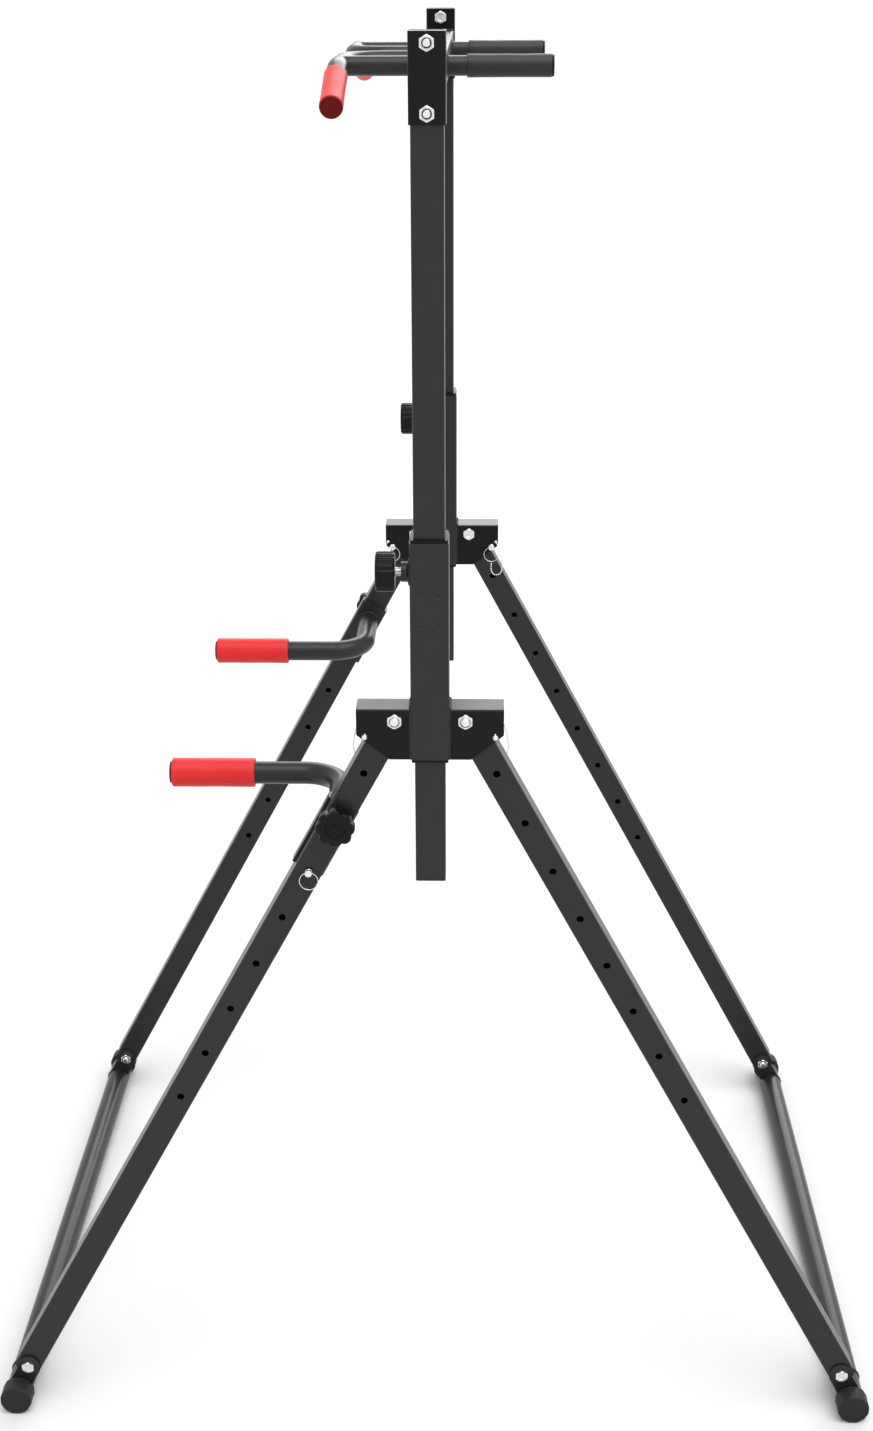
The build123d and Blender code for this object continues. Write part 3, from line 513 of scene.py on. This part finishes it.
def insert_ring(start, axis, flats, height, bolt_radius):
    """Nylon ring inside a lock nut's collar."""
    top = np.asarray(start, float) + height * np.asarray(axis, float)
    ring_radius = np.array([0.365 * flats, 0.365 * flats, 0.35 * flats, bolt_radius * 0.9])
    return turned(top, axis, np.array([0.2, 1.1, 1.35, 1.35]) * MM, ring_radius)


# %% Crossbar bolts
TOP_BOLT_SHIFT, TOP_HEAD, TOP_BOLT_STAND = 39.0 * MM, 6.0 * MM, 2.5 * MM
bracket_low, bracket_high = box("post_brackets")
bracket_middle_z = (bracket_low[2] + bracket_high[2]) / 2
nut_face = bracket_high[0]
inner_face = 2 * half_spacing - nut_face
TOP_FLATS, TOP_NUT, TOP_BOLT_RADIUS = 17 * MM, 7.0 * MM, 5.0 * MM
bolts, inserts = [], []
for up in (-1, 1):
    z = bracket_middle_z + up * TOP_BOLT_SHIFT
    seat = (nut_face, 0, z)
    bolts += lock_nut(seat, AXIS_X, TOP_FLATS, TOP_NUT, TOP_BOLT_RADIUS)
    bolts.append(thread((nut_face + TOP_NUT, 0, z), AXIS_X, TOP_BOLT_STAND, 2 * TOP_BOLT_RADIUS, 1.5 * MM))
    bolts.append(hex_head((inner_face, 0, z), -AXIS_X, TOP_FLATS, TOP_HEAD))
    inserts.append(insert_ring(seat, AXIS_X, TOP_FLATS, TOP_NUT, TOP_BOLT_RADIUS))
piece("crossbar_bolts", both_frames(bolts), "zinc_steel", "pull_up_frame", ["crossbar_fasteners"], 28.0)
piece("crossbar_nut_inserts", both_frames(inserts), "black_plastic", "pull_up_frame")
print("crossbar bolts on each post", len(inserts))

# %% Pivot bolts
joints = {joint["name"]: joint for joint in frame["joints"]}
pivot_y, pivot_z = joints["rear_fold"]["pos_m"][1:]
leg_bracket_low, leg_bracket_high = box("leg_bracket_right")
cheek = (leg_bracket_high[0] - leg_bracket_low[0]) / 2
outer_x, inner_x = half_spacing + cheek, half_spacing - cheek
PIVOT_FLATS, PIVOT_NUT, PIVOT_RADIUS = 18 * MM, 7.5 * MM, 6.0 * MM
PIVOT_HEAD, PIVOT_STAND = 7.2 * MM, 4.5 * MM
pivot_seat = (outer_x, pivot_y, pivot_z)
pivot = [
    *lock_nut(pivot_seat, AXIS_X, PIVOT_FLATS, PIVOT_NUT, PIVOT_RADIUS),
    thread((outer_x + PIVOT_NUT, pivot_y, pivot_z), AXIS_X, PIVOT_STAND, 2 * PIVOT_RADIUS, 1.75 * MM),
    hex_head((inner_x, pivot_y, pivot_z), -AXIS_X, PIVOT_FLATS, PIVOT_HEAD),
    turned((inner_x, pivot_y, pivot_z), AXIS_X, [0, 2 * cheek], PIVOT_RADIUS),
]
pivot_insert = insert_ring(pivot_seat, AXIS_X, PIVOT_FLATS, PIVOT_NUT, PIVOT_RADIUS)
piece("pivot_bolts", four_sides(pivot), "zinc_steel", "side_frames", ["pivot_fasteners"], 28.0)
piece("pivot_nut_inserts", four_sides([pivot_insert]), "black_plastic", "side_frames")
print("leg pivots at y", round(pivot_y, 4), "z", round(pivot_z, 4))

# %% Foot bolts
foot_low, foot_high = box("foot_fasteners_rear")
foot_bolt_y = (foot_low[1] + foot_high[1]) / 2
foot_bolt_z = (foot_low[2] + foot_high[2]) / 2
FOOT_FLATS, FOOT_BOLT_RADIUS = 17 * MM, 5.0 * MM
FOOT_HEAD, FOOT_NUT, FOOT_THREAD_FROM, FOOT_THREAD = 6.0 * MM, 8.0 * MM, 7.2 * MM, 3.6 * MM
foot_outer, foot_inner = [(x, foot_bolt_y, foot_bolt_z) for x in (outer_x, inner_x)]
foot_thread_at = (inner_x - FOOT_THREAD_FROM, foot_bolt_y, foot_bolt_z)
foot = [
    hex_head(foot_outer, AXIS_X, FOOT_FLATS, FOOT_HEAD),
    hex_head(foot_inner, -AXIS_X, FOOT_FLATS, FOOT_NUT),
    thread(foot_thread_at, -AXIS_X, FOOT_THREAD, 2 * FOOT_BOLT_RADIUS, 1.5 * MM),
    turned(foot_inner, AXIS_X, [0, 2 * cheek], FOOT_BOLT_RADIUS),
]
for end, y in ENDS.items():
    shells = [copy for x in SIDES.values() for copy in mirrored(foot, x, y)]
    piece(f"foot_bolts_{end}", shells, "zinc_steel", f"{end}_legs", [f"foot_fasteners_{end}"], 28.0)
print("foot bolts at y", round(foot_bolt_y, 4), "z", round(foot_bolt_z, 4))


# %% [markdown]
# ## Pins with split rings
# A pin is turned from bar: a chamfered head, a neck groove, a shank and a spring ball near
# its tip. Its ring is a key ring: two turns of wire that lie side by side.

# %% Pins
def split_ring(centre, radius, wire):
    """Circle whose place along X climbs from one turn to the next: two turns side by side."""
    turn = np.linspace(0.0, 4 * np.pi, 129)
    climb = wire * 0.5 * np.tanh(3.0 * (turn / (2 * np.pi) - 1.0))
    path = np.column_stack([climb, radius * np.sin(turn), radius * np.cos(turn)]) + centre
    return swept(path, np.concatenate([[wire * 0.3], np.full(len(turn) - 2, wire / 2), [wire * 0.3]]), 12)


def turned_pin(head_end, y, z, inward, length):
    """Lathe profile of a pin: chamfer, head with a groove, shank and chamfered tip, and a spring ball."""
    along = np.array([0, 0.4, 1.0, 3.0, 3.4, 6.2, 6.6, 10.6, 11.3, 12.0, 12.2]) * MM
    radius = np.array([2.8, 4.1, 4.75, 4.75, 4.35, 4.35, 4.75, 4.75, 4.4, 4.3, 4.0]) * MM
    tip = np.array([length - 2.6 * MM, length - 2.2 * MM, length])
    along = np.concatenate([along, tip])
    radius = np.concatenate([radius, [4.0 * MM, 3.8 * MM, 2.2 * MM]])
    start = (head_end, y, z)
    ball_turn = np.linspace(0.02, np.pi - 0.02, 12)
    ball = turned((head_end + inward * (length - 5.0 * MM), y, z + 4.4 * MM), AXIS_Z,
                  -1.3 * MM * np.cos(ball_turn) - 0.6 * MM, 1.3 * MM * np.sin(ball_turn), 16)
    return [turned(start, inward * AXIS_X, along, radius, 40), ball]


RING_RADIUS, RING_WIRE = 12.5 * MM, 1.0 * MM
lock_length = lock_high[0] - lock_low[0]
lock_pin = turned_pin(lock_low[0], lock_y, lock_z, 1, lock_length)
lock_pin.append(split_ring((chain_x, lock_y, lock_z - RING_RADIUS), RING_RADIUS, RING_WIRE))
for end, y in ENDS.items():
    for side, x in SIDES.items():
        name = f"lock_pin_{end}_{side}"
        piece(f"turned_{name}", mirrored(lock_pin, x, y), "zinc_steel", name, [name], 35.0)

ring_low, ring_high = box("ring_pin_right")
ring_y = (ring_low[1] + ring_high[1]) / 2
ring_z = ring_high[2] - PIN_HEAD_RADIUS
ring_pin = turned_pin(ring_high[0], ring_y, ring_z, -1, ring_high[0] - ring_low[0])
ring_centre = (ring_high[0] - RING_FROM_END, ring_y, ring_z - RING_RADIUS)
ring_pin.append(split_ring(ring_centre, RING_RADIUS, RING_WIRE))
print("lock pin length", round(lock_length, 4), "ring pin length", round(ring_high[0] - ring_low[0], 4))
for side, x in SIDES.items():
    piece(f"turned_ring_pin_{side}", mirrored(ring_pin, x), "zinc_steel", f"ring_pin_{side}",
          [f"ring_pin_{side}"], 35.0)

# %% Chain rivets
rivet = turned((rivet_high[0], rivet_y, rivet_z), -AXIS_X, np.array([0, 1.2, 2.0, 2.6, 2.9, 3.0]) * MM,
               np.array([2.5, 2.5, 2.3, 1.7, 0.9, 0.3]) * MM, 24)
piece("domed_chain_rivets", four_sides([rivet]), "zinc_steel", "side_frames", ["chain_rivets"], 50.0)


# %% [markdown]
# ## Knobs
# The star knob is eight circles round a disc, so its edge is the furthest of eight arcs. The
# round knob has finger grooves round its rim, a cosine with its lower half cut off. Both are one
# grid: the rows go up the side, over the rounded edge and into the middle of the face.

# %% Star knobs
STAR_WEB = 1.6 * MM


def star_outline(turn, outer, lobe, lobes):
    """Distance to the nearest lobe's far arc: d·cos a + sqrt(lobe² - d²·sin² a), or the web between lobes."""
    offset = outer - lobe
    angle = (turn + math.pi / lobes) % (2 * math.pi / lobes) - math.pi / lobes
    arc = offset * np.cos(angle) + np.sqrt(np.maximum(lobe ** 2 - (offset * np.sin(angle)) ** 2, 0.0))
    return np.maximum(arc, offset + STAR_WEB)


def rounded_rise(thickness, soft, rows=7):
    """Heights and insets of a side whose two edges are quarter circles of radius soft."""
    angle = np.linspace(0, math.pi / 2, rows)
    low, inset = soft * (1 - np.cos(angle)), soft * (1 - np.sin(angle))
    return np.concatenate([low, thickness - low[::-1]]), np.concatenate([inset, inset[::-1]])


STAR_COLUMNS = 128
star_place = np.array(joints["right_star_turn"]["pos_m"])
star_low, star_high = box("star_knob_right")
STAR_THICKNESS, FACE_SINK, STUD_DIAMETER, STUD_FROM = 18.0 * MM, 0.9 * MM, 7.4 * MM, 5.0 * MM
star_turn = np.linspace(0, 2 * np.pi, STAR_COLUMNS, endpoint=False)
STAR_RADIUS, LOBE_RADIUS, STAR_LOBES = 26.25 * MM, 9.3 * MM, 8
star_edge = star_outline(star_turn, STAR_RADIUS, LOBE_RADIUS, STAR_LOBES)
star_rise, star_inset = rounded_rise(STAR_THICKNESS, 3.2 * MM)
star_side = star_edge[None, :] - star_inset[:, None]
face_rise = STAR_THICKNESS + np.array([0.4, 0.9, 0.9, -0.9, -1.2, -1.2, -0.3, -0.1]) * MM
face_radius = np.array([17.0, 15.0, 13.2, 12.4, 11.6, 6.4, 6.0, 1.0]) * MM
face_rows = np.broadcast_to(face_radius[:, None], (len(face_radius), STAR_COLUMNS))
star_rows = np.concatenate([star_side, face_rows])
star_along = np.concatenate([star_rise, face_rise - FACE_SINK])
star_base = (star_high[0] - STAR_THICKNESS, star_place[1], star_place[2])
star_body = turned(star_base, AXIS_X, star_along, star_rows, STAR_COLUMNS)
star_boss = turned((star_base[0] - 6.0 * MM, *star_base[1:]), AXIS_X, np.array([0, 0.8, 4.0, 7.0]) * MM,
                   np.array([11.2, 12.0, 12.6, 14.0]) * MM)
stud_x = star_base[0] - STUD_FROM
star_stud = thread((stud_x, *star_base[1:]), -AXIS_X, stud_x - star_low[0], STUD_DIAMETER, 1.25 * MM)
for side, x in SIDES.items():
    name = f"star_knob_{side}"
    piece(f"moulded_{name}", mirrored([star_body, star_boss], x), "knob_plastic", name, [name], 38.0)
    piece(f"stud_{name}", mirrored([star_stud], x), "zinc_steel", name, (), 38.0)
print("star knob lobes", STAR_LOBES, "stud length", round(stud_x - star_low[0], 4))

# %% Height knobs
KNOB_GROOVES, KNOB_COLUMNS, GROOVE_DEPTH, KNOB_ROUND = 16, 160, 1.4 * MM, 4.0 * MM
knob_low, knob_high = box("height_knob_right")
knob_length = knob_high[1] - knob_low[1]
knob_radius = (knob_high[2] - knob_low[2]) / 2
knob_centre = middle("height_knob_right")
knob_turn = np.linspace(0, 2 * np.pi, KNOB_COLUMNS, endpoint=False)
groove = GROOVE_DEPTH * np.maximum(np.cos(KNOB_GROOVES * knob_turn), 0.0) ** 0.8
knob_rise, knob_inset = rounded_rise(knob_length, KNOB_ROUND)
groove_share = np.clip(np.sin(np.pi * knob_rise / knob_length) * 3.0, 0.0, 1.0)
knob_side = knob_radius - knob_inset[:, None] - groove[None, :] * groove_share[:, None]
knob_face = np.array([20.5, 19.0, 18.4, 17.0, 8.0, 2.0]) * MM
knob_face_rows = np.broadcast_to(knob_face[:, None], (len(knob_face), KNOB_COLUMNS))
knob_rows = np.concatenate([knob_side, knob_face_rows])
knob_heights = np.concatenate([knob_rise, knob_length + np.array([0.0, 0.0, -0.6, -0.9, -0.9, -0.9]) * MM])
knob_base = (knob_centre[0], knob_high[1], knob_centre[2])
knob_body = turned(knob_base, -AXIS_Y, knob_heights, knob_rows, KNOB_COLUMNS)

# %% Plungers
NECK_FROM, NECK_DIAMETER, NECK_IN_KNOB = 12.0 * MM, 12.0 * MM, 1.0 * MM
tip_y = box("plunger_right")[1][1]
neck_y = tip_y - NECK_FROM
neck_length = neck_y - knob_high[1] + NECK_IN_KNOB
tip_along = np.array([0, 1.2, 4.5, 4.6, 12.4]) * MM
tip_radius = np.array([3.8, 5.0, 5.0, 5.9, 5.9]) * MM
plunger_neck = [
    thread((knob_centre[0], neck_y, knob_centre[2]), -AXIS_Y, neck_length, NECK_DIAMETER, 1.5 * MM),
    turned((knob_centre[0], tip_y, knob_centre[2]), -AXIS_Y, tip_along, tip_radius),
]
for side, x in SIDES.items():
    body = f"height_plunger_{side}"
    knob_shells, neck_shells = mirrored([knob_body], x), mirrored(plunger_neck, x)
    piece(f"ribbed_height_knob_{side}", knob_shells, "knob_plastic", body, [f"height_knob_{side}"])
    piece(f"threaded_plunger_{side}", neck_shells, "zinc_steel", body, [f"plunger_{side}"])
print("height knob length", round(knob_length, 4), "radius", round(knob_radius, 4))


# %% [markdown]
# ## Foam sleeves and plugs
# A foam grip is a tight sleeve: its ends round over, and it swells a little just behind them
# where it was pushed on. Small slow waves keep it from looking turned from metal. The plug
# in its end is a thin moulded disc with a dished face and a dimple in the middle.

# %% Foam sleeve shape
FOAM_ROWS, FOAM_COLUMNS = 40, 64
WAVE_DEPTH, WAVE_LENGTH = 0.15 * MM, 9 * MM
SWELL_HEIGHT, SWELL_FROM_END, SWELL_WIDTH = 0.1 * MM, 7 * MM, 5 * MM


def sleeve_of_foam(start, axis, length, radius, inner, seed, soft=2.4 * MM):
    """Radius with rounded ends, less slow waves: one sine along and round it times one round it."""
    angle = np.linspace(0, math.pi / 2, 7)
    edge_along, edge_inset = soft * (1 - np.cos(angle)), soft * (1 - np.sin(angle))
    straight = np.linspace(soft, length - soft, FOAM_ROWS)[1:-1]
    along = np.concatenate([edge_along, straight, length - edge_along[::-1]])
    inset = np.concatenate([edge_inset, np.zeros(len(straight)), edge_inset[::-1]])
    turn = np.linspace(0, 2 * np.pi, FOAM_COLUMNS, endpoint=False)
    waves = np.sin(along[:, None] / WAVE_LENGTH + seed + 2 * turn) * np.sin(turn * 3 + seed)
    swell = sum(np.exp(-((reach - SWELL_FROM_END) / SWELL_WIDTH) ** 2) for reach in (along, length - along))
    grip = radius - inset[:, None] - WAVE_DEPTH * (1 + waves) * np.sin(np.pi * along / length)[:, None]
    grip += SWELL_HEIGHT * swell[:, None] - SWELL_HEIGHT
    rim = np.full((1, FOAM_COLUMNS), inner)
    rows_along = np.concatenate([[0.0], along, [length]])
    return turned(start, axis, rows_along, np.concatenate([rim, grip, rim]), FOAM_COLUMNS)


def dished_plug(start, axis, radius, height):
    """Disc with a rounded edge, a shallow dish, and a small dimple where it was moulded."""
    along = np.array([-6.0 * MM, 0.0, 0.0, 0.5 * height, 0.85 * height, height, height,
                      0.6 * height, 0.55 * height, 0.55 * height, 0.3 * height, 0.3 * height])
    rim = np.array([radius - 3 * MM, radius - 3 * MM, radius - 0.3 * MM, radius, radius - 0.3 * MM,
                    radius - 1.0 * MM, radius - 1.8 * MM, radius - 2.8 * MM, radius - 3.6 * MM,
                    2.4 * MM, 1.6 * MM, 0.6 * MM])
    return turned(start, axis, along, rim)


# %% Wide grips
PLUG_HEAD, PLUG_RIM = 3.0 * MM, 0.75 * MM
wide_low, wide_high = box("wide_grip_foams")
GRIP_RADIUS, DROOP = 12.5 * MM, math.radians(18.0)
WIDE_FOAM_RADIUS, WIDE_FOAM_LENGTH = (wide_high[1] - wide_low[1]) / 2, 98.0 * MM
droop_axis = np.array([math.cos(DROOP), 0.0, -math.sin(DROOP)])
wide_end = np.array([wide_high[0] - WIDE_FOAM_RADIUS * math.sin(DROOP), (wide_low[1] + wide_high[1]) / 2,
                     wide_low[2] + WIDE_FOAM_RADIUS * math.cos(DROOP)])
wide_start = wide_end - droop_axis * WIDE_FOAM_LENGTH
wide_sleeve = sleeve_of_foam(wide_start, droop_axis, WIDE_FOAM_LENGTH, WIDE_FOAM_RADIUS, GRIP_RADIUS, 0.7,
                             1.2 * MM)
wide = piece("wide_grip_foam_sleeves", both_frames([wide_sleeve]), "red_foam", "pull_up_frame",
             ["wide_grip_foams"])
# The plugs' dark red is partly their plastic's colour and partly painted shade on the end face.
wide_plug = dished_plug(wide_end, droop_axis, WIDE_FOAM_RADIUS - PLUG_RIM, PLUG_HEAD)
piece("dished_wide_grip_plugs", both_frames([wide_plug]), "dark_red_plastic", "pull_up_frame",
      ["wide_grip_plugs"])
print("wide grip ends at", np.round(wide_end, 4).tolist())

# %% Rear grips
rear_low, rear_high = box("rear_grip_foams")
rear_radius = (rear_high[2] - rear_low[2]) / 2
rear_x, rear_z = rear_high[0] - rear_radius, (rear_low[2] + rear_high[2]) / 2
rear_sleeve = sleeve_of_foam((rear_x, rear_low[1], rear_z), AXIS_Y, rear_high[1] - rear_low[1], rear_radius,
                             GRIP_RADIUS, 2.1, 0.8 * MM)
rear = piece("rear_grip_foam_sleeves", both_frames([rear_sleeve]), "black_foam", "pull_up_frame",
             ["rear_grip_foams"])
rear_plug = dished_plug((rear_x, rear_high[1], rear_z), AXIS_Y, rear_radius - PLUG_RIM, PLUG_HEAD)
piece("dished_rear_grip_plugs", both_frames([rear_plug]), "black_plastic", "pull_up_frame",
      ["rear_grip_plugs"])
print("rear grip radius", round(rear_radius, 4))

# %% Dip grips
dip_low, dip_high = box("dip_foam_right")
dip_radius = (dip_high[2] - dip_low[2]) / 2
dip_centre = middle("dip_foam_right")
dip_plug_low, dip_plug_high = box("dip_plug_right")
DIP_TUBE_RADIUS = (dip_plug_high[2] - dip_plug_low[2]) / 2
for side, x in SIDES.items():
    shell = sleeve_of_foam((dip_centre[0], dip_high[1], dip_centre[2]), -AXIS_Y, dip_high[1] - dip_low[1],
                           dip_radius, DIP_TUBE_RADIUS, 1.3)
    grip = piece(f"dip_foam_sleeve_{side}", mirrored([shell], x), "red_foam", f"dip_handle_{side}",
                 [f"dip_foam_{side}"])
    plug = dished_plug((dip_centre[0], dip_low[1], dip_centre[2]), -AXIS_Y, DIP_TUBE_RADIUS, PLUG_HEAD)
    piece(f"dished_dip_plug_{side}", mirrored([plug], x), "black_plastic", f"dip_handle_{side}",
          [f"dip_plug_{side}"])
print("dip foam radius", round(dip_radius, 4), "tube radius", round(DIP_TUBE_RADIUS, 4))


# %% [markdown]
# ## Rubber feet
# The cap on each end of a base tube has twelve flat sides, so that it can't roll, with a
# collar where it was moulded and a softened rim. The polygon formula of the nuts gives it,
# with twelve sides for six.

# %% Foot caps
CAP_SIDES, CAP_COLUMNS, CAP_GAP, CAP_CORNER = 12, 96, 1.0 * MM, 1.027


def cap_outline(width, turn):
    """Half the width over the cosine of the turn from the nearest flat, cut off just at the corners."""
    step = 2 * math.pi / CAP_SIDES
    exact = width / 2 / np.cos((turn + step / 2) % step - step / 2)
    return np.minimum(exact, width / 2 * CAP_CORNER)


cap_low, cap_high = box("foot_caps_rear")
cap_width = cap_high[2] - cap_low[2]
cap_start = leg_bracket_high[0] + CAP_GAP
cap_centre = ((cap_low[1] + cap_high[1]) / 2, (cap_low[2] + cap_high[2]) / 2)
cap_length = cap_high[0] - cap_start
cap_turn = np.linspace(0, 2 * np.pi, CAP_COLUMNS, endpoint=False)
cap_along = np.array([0.0, 0.0, 0.7, 1.6, 3.2, 4.0]) * MM
cap_tip = cap_length + np.array([-2.4, -1.6, -0.8, -0.2, 0.0, 0.0, -0.5, -0.5]) * MM
cap_inset = np.array([4.2, 0.9, 0.2, 0.0, 0.0, 0.4, 0.4, 0.5, 0.9, 1.7, 2.8, 5.4, 6.0, 20.0]) * MM
cap_rows = cap_outline(cap_width, cap_turn)[None, :] - cap_inset[:, None]
cap_shell = turned((cap_start, *cap_centre), AXIS_X, np.concatenate([cap_along, cap_tip]), cap_rows,
                   CAP_COLUMNS)
for end, y in ENDS.items():
    shells = [copy for x in SIDES.values() for copy in mirrored([cap_shell], x, y)]
    piece(f"twelve_sided_caps_{end}", shells, "rubber", f"{end}_legs", [f"foot_caps_{end}"], 18.0)
print("cap length", round(cap_length, 4), "width", round(cap_width, 4))


# %% [markdown]
# ## Weld beads
# The tubes are joined by a welder who moves in small even steps, so a bead is a row of
# overlapping ripples under the paint. Each bead is a thin bar along the joint, and its radius
# rises and falls with a sine once in each step.

# %% Weld beads
BEAD_POINTS_APART, RIPPLE_STEP, RIPPLE_DRIFT, WELD_LIFT = 0.5 * MM, 2.6 * MM, 7.1 * MM, 0.3 * MM


def bead(corners, radius=1.9 * MM, closed=False):
    """Rippled bar along straight runs: radius·(1 + 0.13·sin of 2π·along/step + a slow, small sine)."""
    corners = np.asarray(corners, float)
    if closed:
        corners = np.concatenate([corners, corners[:1]])
    line, along = spaced(corners, BEAD_POINTS_APART)
    drift = 0.05 * np.sin(along / RIPPLE_DRIFT)
    ripple = radius * (1 + 0.13 * np.sin(2 * np.pi * along / RIPPLE_STEP) + drift)
    if closed:
        return swept(line[:-1], ripple[:-1], 10, ring=True)
    ripple[[0, -1]] *= 0.4
    return swept(line, ripple, 10)


def circle(centre, axis, radius, start=0.0, stop=2 * math.pi, count=72):
    """Points round an axis, from one angle to another."""
    _, side, other = across(axis)
    turn = np.linspace(start, stop, count, endpoint=stop - start < 2 * math.pi - 1e-6)
    return np.asarray(centre, float) + radius * (np.cos(turn)[:, None] * side + np.sin(turn)[:, None] * other)


def square_loop(centre, axis, half, corner):
    """Rounded square round an axis: the circle's points pushed out to the sides and held inside them."""
    _, side, other = across(axis)
    turn = np.linspace(0, 2 * np.pi, 96, endpoint=False) + 1e-3
    reach = (half - corner) * np.sign(np.stack([np.cos(turn), np.sin(turn)], 1))
    flat = reach + corner * np.stack([np.cos(turn), np.sin(turn)], 1)
    return np.asarray(centre, float) + flat[:, :1] * side + flat[:, 1:] * other


crossbar_low, crossbar_high = box("crossbar")
crossbar_z = (crossbar_low[2] + crossbar_high[2]) / 2
crossbar_half = (crossbar_high[1] - crossbar_low[1]) / 2
WIDE_GRIP_ROOT, TUBE_CORNER = 68.0 * MM, 3 * MM
crossbar_end = (crossbar_high[0] - 0.4 * MM, 0, crossbar_z)
grip_roots = [(rear_x, crossbar_half, crossbar_z), (rear_x, -crossbar_half, crossbar_z),
              (WIDE_GRIP_ROOT, -crossbar_half, crossbar_z)]
pull_up_beads = [bead(square_loop(crossbar_end, AXIS_X, crossbar_half + WELD_LIFT, TUBE_CORNER), closed=True)]
pull_up_beads += [bead(circle(root, AXIS_Y, GRIP_RADIUS + WELD_LIFT), closed=True) for root in grip_roots]
piece("pull_up_frame_welds", both_frames(pull_up_beads), "black_powder_coat", "pull_up_frame", (), 60.0)

sleeve_low, sleeve_high = box("sleeve_right")
sleeve_half = (sleeve_high[1] - sleeve_low[1]) / 2
WELD_OFFSET, TOP_BEAD, BOSS_WELD_RADIUS = 0.2 * MM, 2.3 * MM, 16.2 * MM
weld_y = sleeve_half + WELD_OFFSET
bead_foot, bead_top = leg_bracket_low[2] + 2 * MM, leg_bracket_high[2] - 3 * MM
top_z = leg_bracket_high[2] + WELD_OFFSET
bracket_beads = [bead([(x, weld_y, bead_foot), (x, weld_y, bead_top)])
                 for x in (outer_x - WELD_LIFT, inner_x + WELD_LIFT)]
bracket_beads.append(bead([(outer_x - 1 * MM, weld_y, top_z), (inner_x + 1 * MM, weld_y, top_z)], TOP_BEAD))
boss_centre = (half_spacing, -sleeve_half - WELD_OFFSET, knob_centre[2])
boss_bead = bead(circle(boss_centre, AXIS_Y, BOSS_WELD_RADIUS), closed=True)
piece("side_frame_welds", four_sides(bracket_beads) + both_frames([boss_bead]), "black_powder_coat",
      "side_frames", (), 60.0)
print("beads on the pull-up frame", 2 * len(pull_up_beads), "on the side frames", 4 * len(bracket_beads) + 2)

# %% Welds on the dip handles and the base tubes
saddle_web = box("dip_saddle_right")[0][0]
dip_arm_y = box("dip_tube_right")[1][1] - DIP_TUBE_RADIUS
dip_root = (saddle_web, dip_arm_y, dip_centre[2])
dip_ring = bead(circle(dip_root, AXIS_X, DIP_TUBE_RADIUS + WELD_LIFT), closed=True)
for side, x in SIDES.items():
    piece(f"dip_handle_weld_{side}", mirrored([dip_ring], x), "black_powder_coat", f"dip_handle_{side}",
          (), 60.0)

BASE_RADIUS, LUG_WELD_LIFT, LUG_BEAD, LUG_HALF_TURN = 19.0 * MM, 0.4 * MM, 1.6 * MM, 0.9
lug_reach = BASE_RADIUS + LUG_WELD_LIFT
lug_arc = (-LUG_HALF_TURN, LUG_HALF_TURN, 40)
lug_beads = [bead(circle((lug_x, *cap_centre), AXIS_X, lug_reach, *lug_arc), LUG_BEAD)
             for lug_x in (outer_x, inner_x)]
for end, y in ENDS.items():
    shells = [copy for x in SIDES.values() for copy in mirrored(lug_beads, x, y)]
    piece(f"foot_lug_welds_{end}", shells, "black_powder_coat", f"{end}_legs", (), 60.0)
print("dip handle weld at", np.round(dip_root, 4).tolist())


# %% [markdown]
# ## Floor and studio light
# The station stands in a bright white room. A pale floor carries a soft shadow. Two very wide
# suns stand in for soft boxes, one overhead and one behind, and light the upper and the rear
# faces. The white surroundings fill the rest, and show in the gloss of the paint.

# %% Floor and light
FLOOR_REACH = 30.0
SKY_ANGLE = math.radians(55.0)
BACK_ANGLE = math.radians(40.0)
OVERHEAD_STRENGTH, BEHIND_STRENGTH, ROOM_STRENGTH = 2.1, 1.3, 1.02


def studio_floor():
    finish = Finish("pale_floor", Specular_IOR_Level=0.1)
    finish.colour(finish.between(finish.noise(1.5, 2.0), (0.60, 0.60, 0.60), (0.62, 0.62, 0.62)))
    finish.roughness(0.9)
    corners = [(-FLOOR_REACH, -FLOOR_REACH, 0), (FLOOR_REACH, -FLOOR_REACH, 0),
               (FLOOR_REACH, FLOOR_REACH, 0), (-FLOOR_REACH, FLOOR_REACH, 0)]
    mesh = bpy.data.meshes.new("studio_floor")
    mesh.from_pydata(corners, [], [(0, 1, 2, 3)])
    mesh.materials.append(finish.material)
    floor = bpy.data.objects.new("studio_floor", mesh)
    bpy.context.scene.collection.objects.link(floor)


def sky_light(name, place, angle, strength):
    """Wide sun that shines from a place towards the middle of the station."""
    data = bpy.data.lights.new(name, "SUN")
    data.angle = angle
    data.energy = strength
    light = bpy.data.objects.new(name, data)
    away, side, other = across(place)
    light.matrix_world = Matrix(np.column_stack([side, other, away]).tolist()).to_4x4()
    bpy.context.scene.collection.objects.link(light)


studio_floor()
sky_light("overhead", (0.35, 0.25, 1.0), SKY_ANGLE, OVERHEAD_STRENGTH)
sky_light("behind", (-1.0, 0.2, 0.5), BACK_ANGLE, BEHIND_STRENGTH)
world = bpy.data.worlds.new("white_room")
world.use_nodes = True
background = world.node_tree.nodes["Background"]
background.inputs["Color"].default_value = (1.0, 1.0, 1.0, 1.0)
background.inputs["Strength"].default_value = ROOM_STRENGTH
bpy.context.scene.world = world
bpy.context.scene.view_settings.view_transform = "Standard"
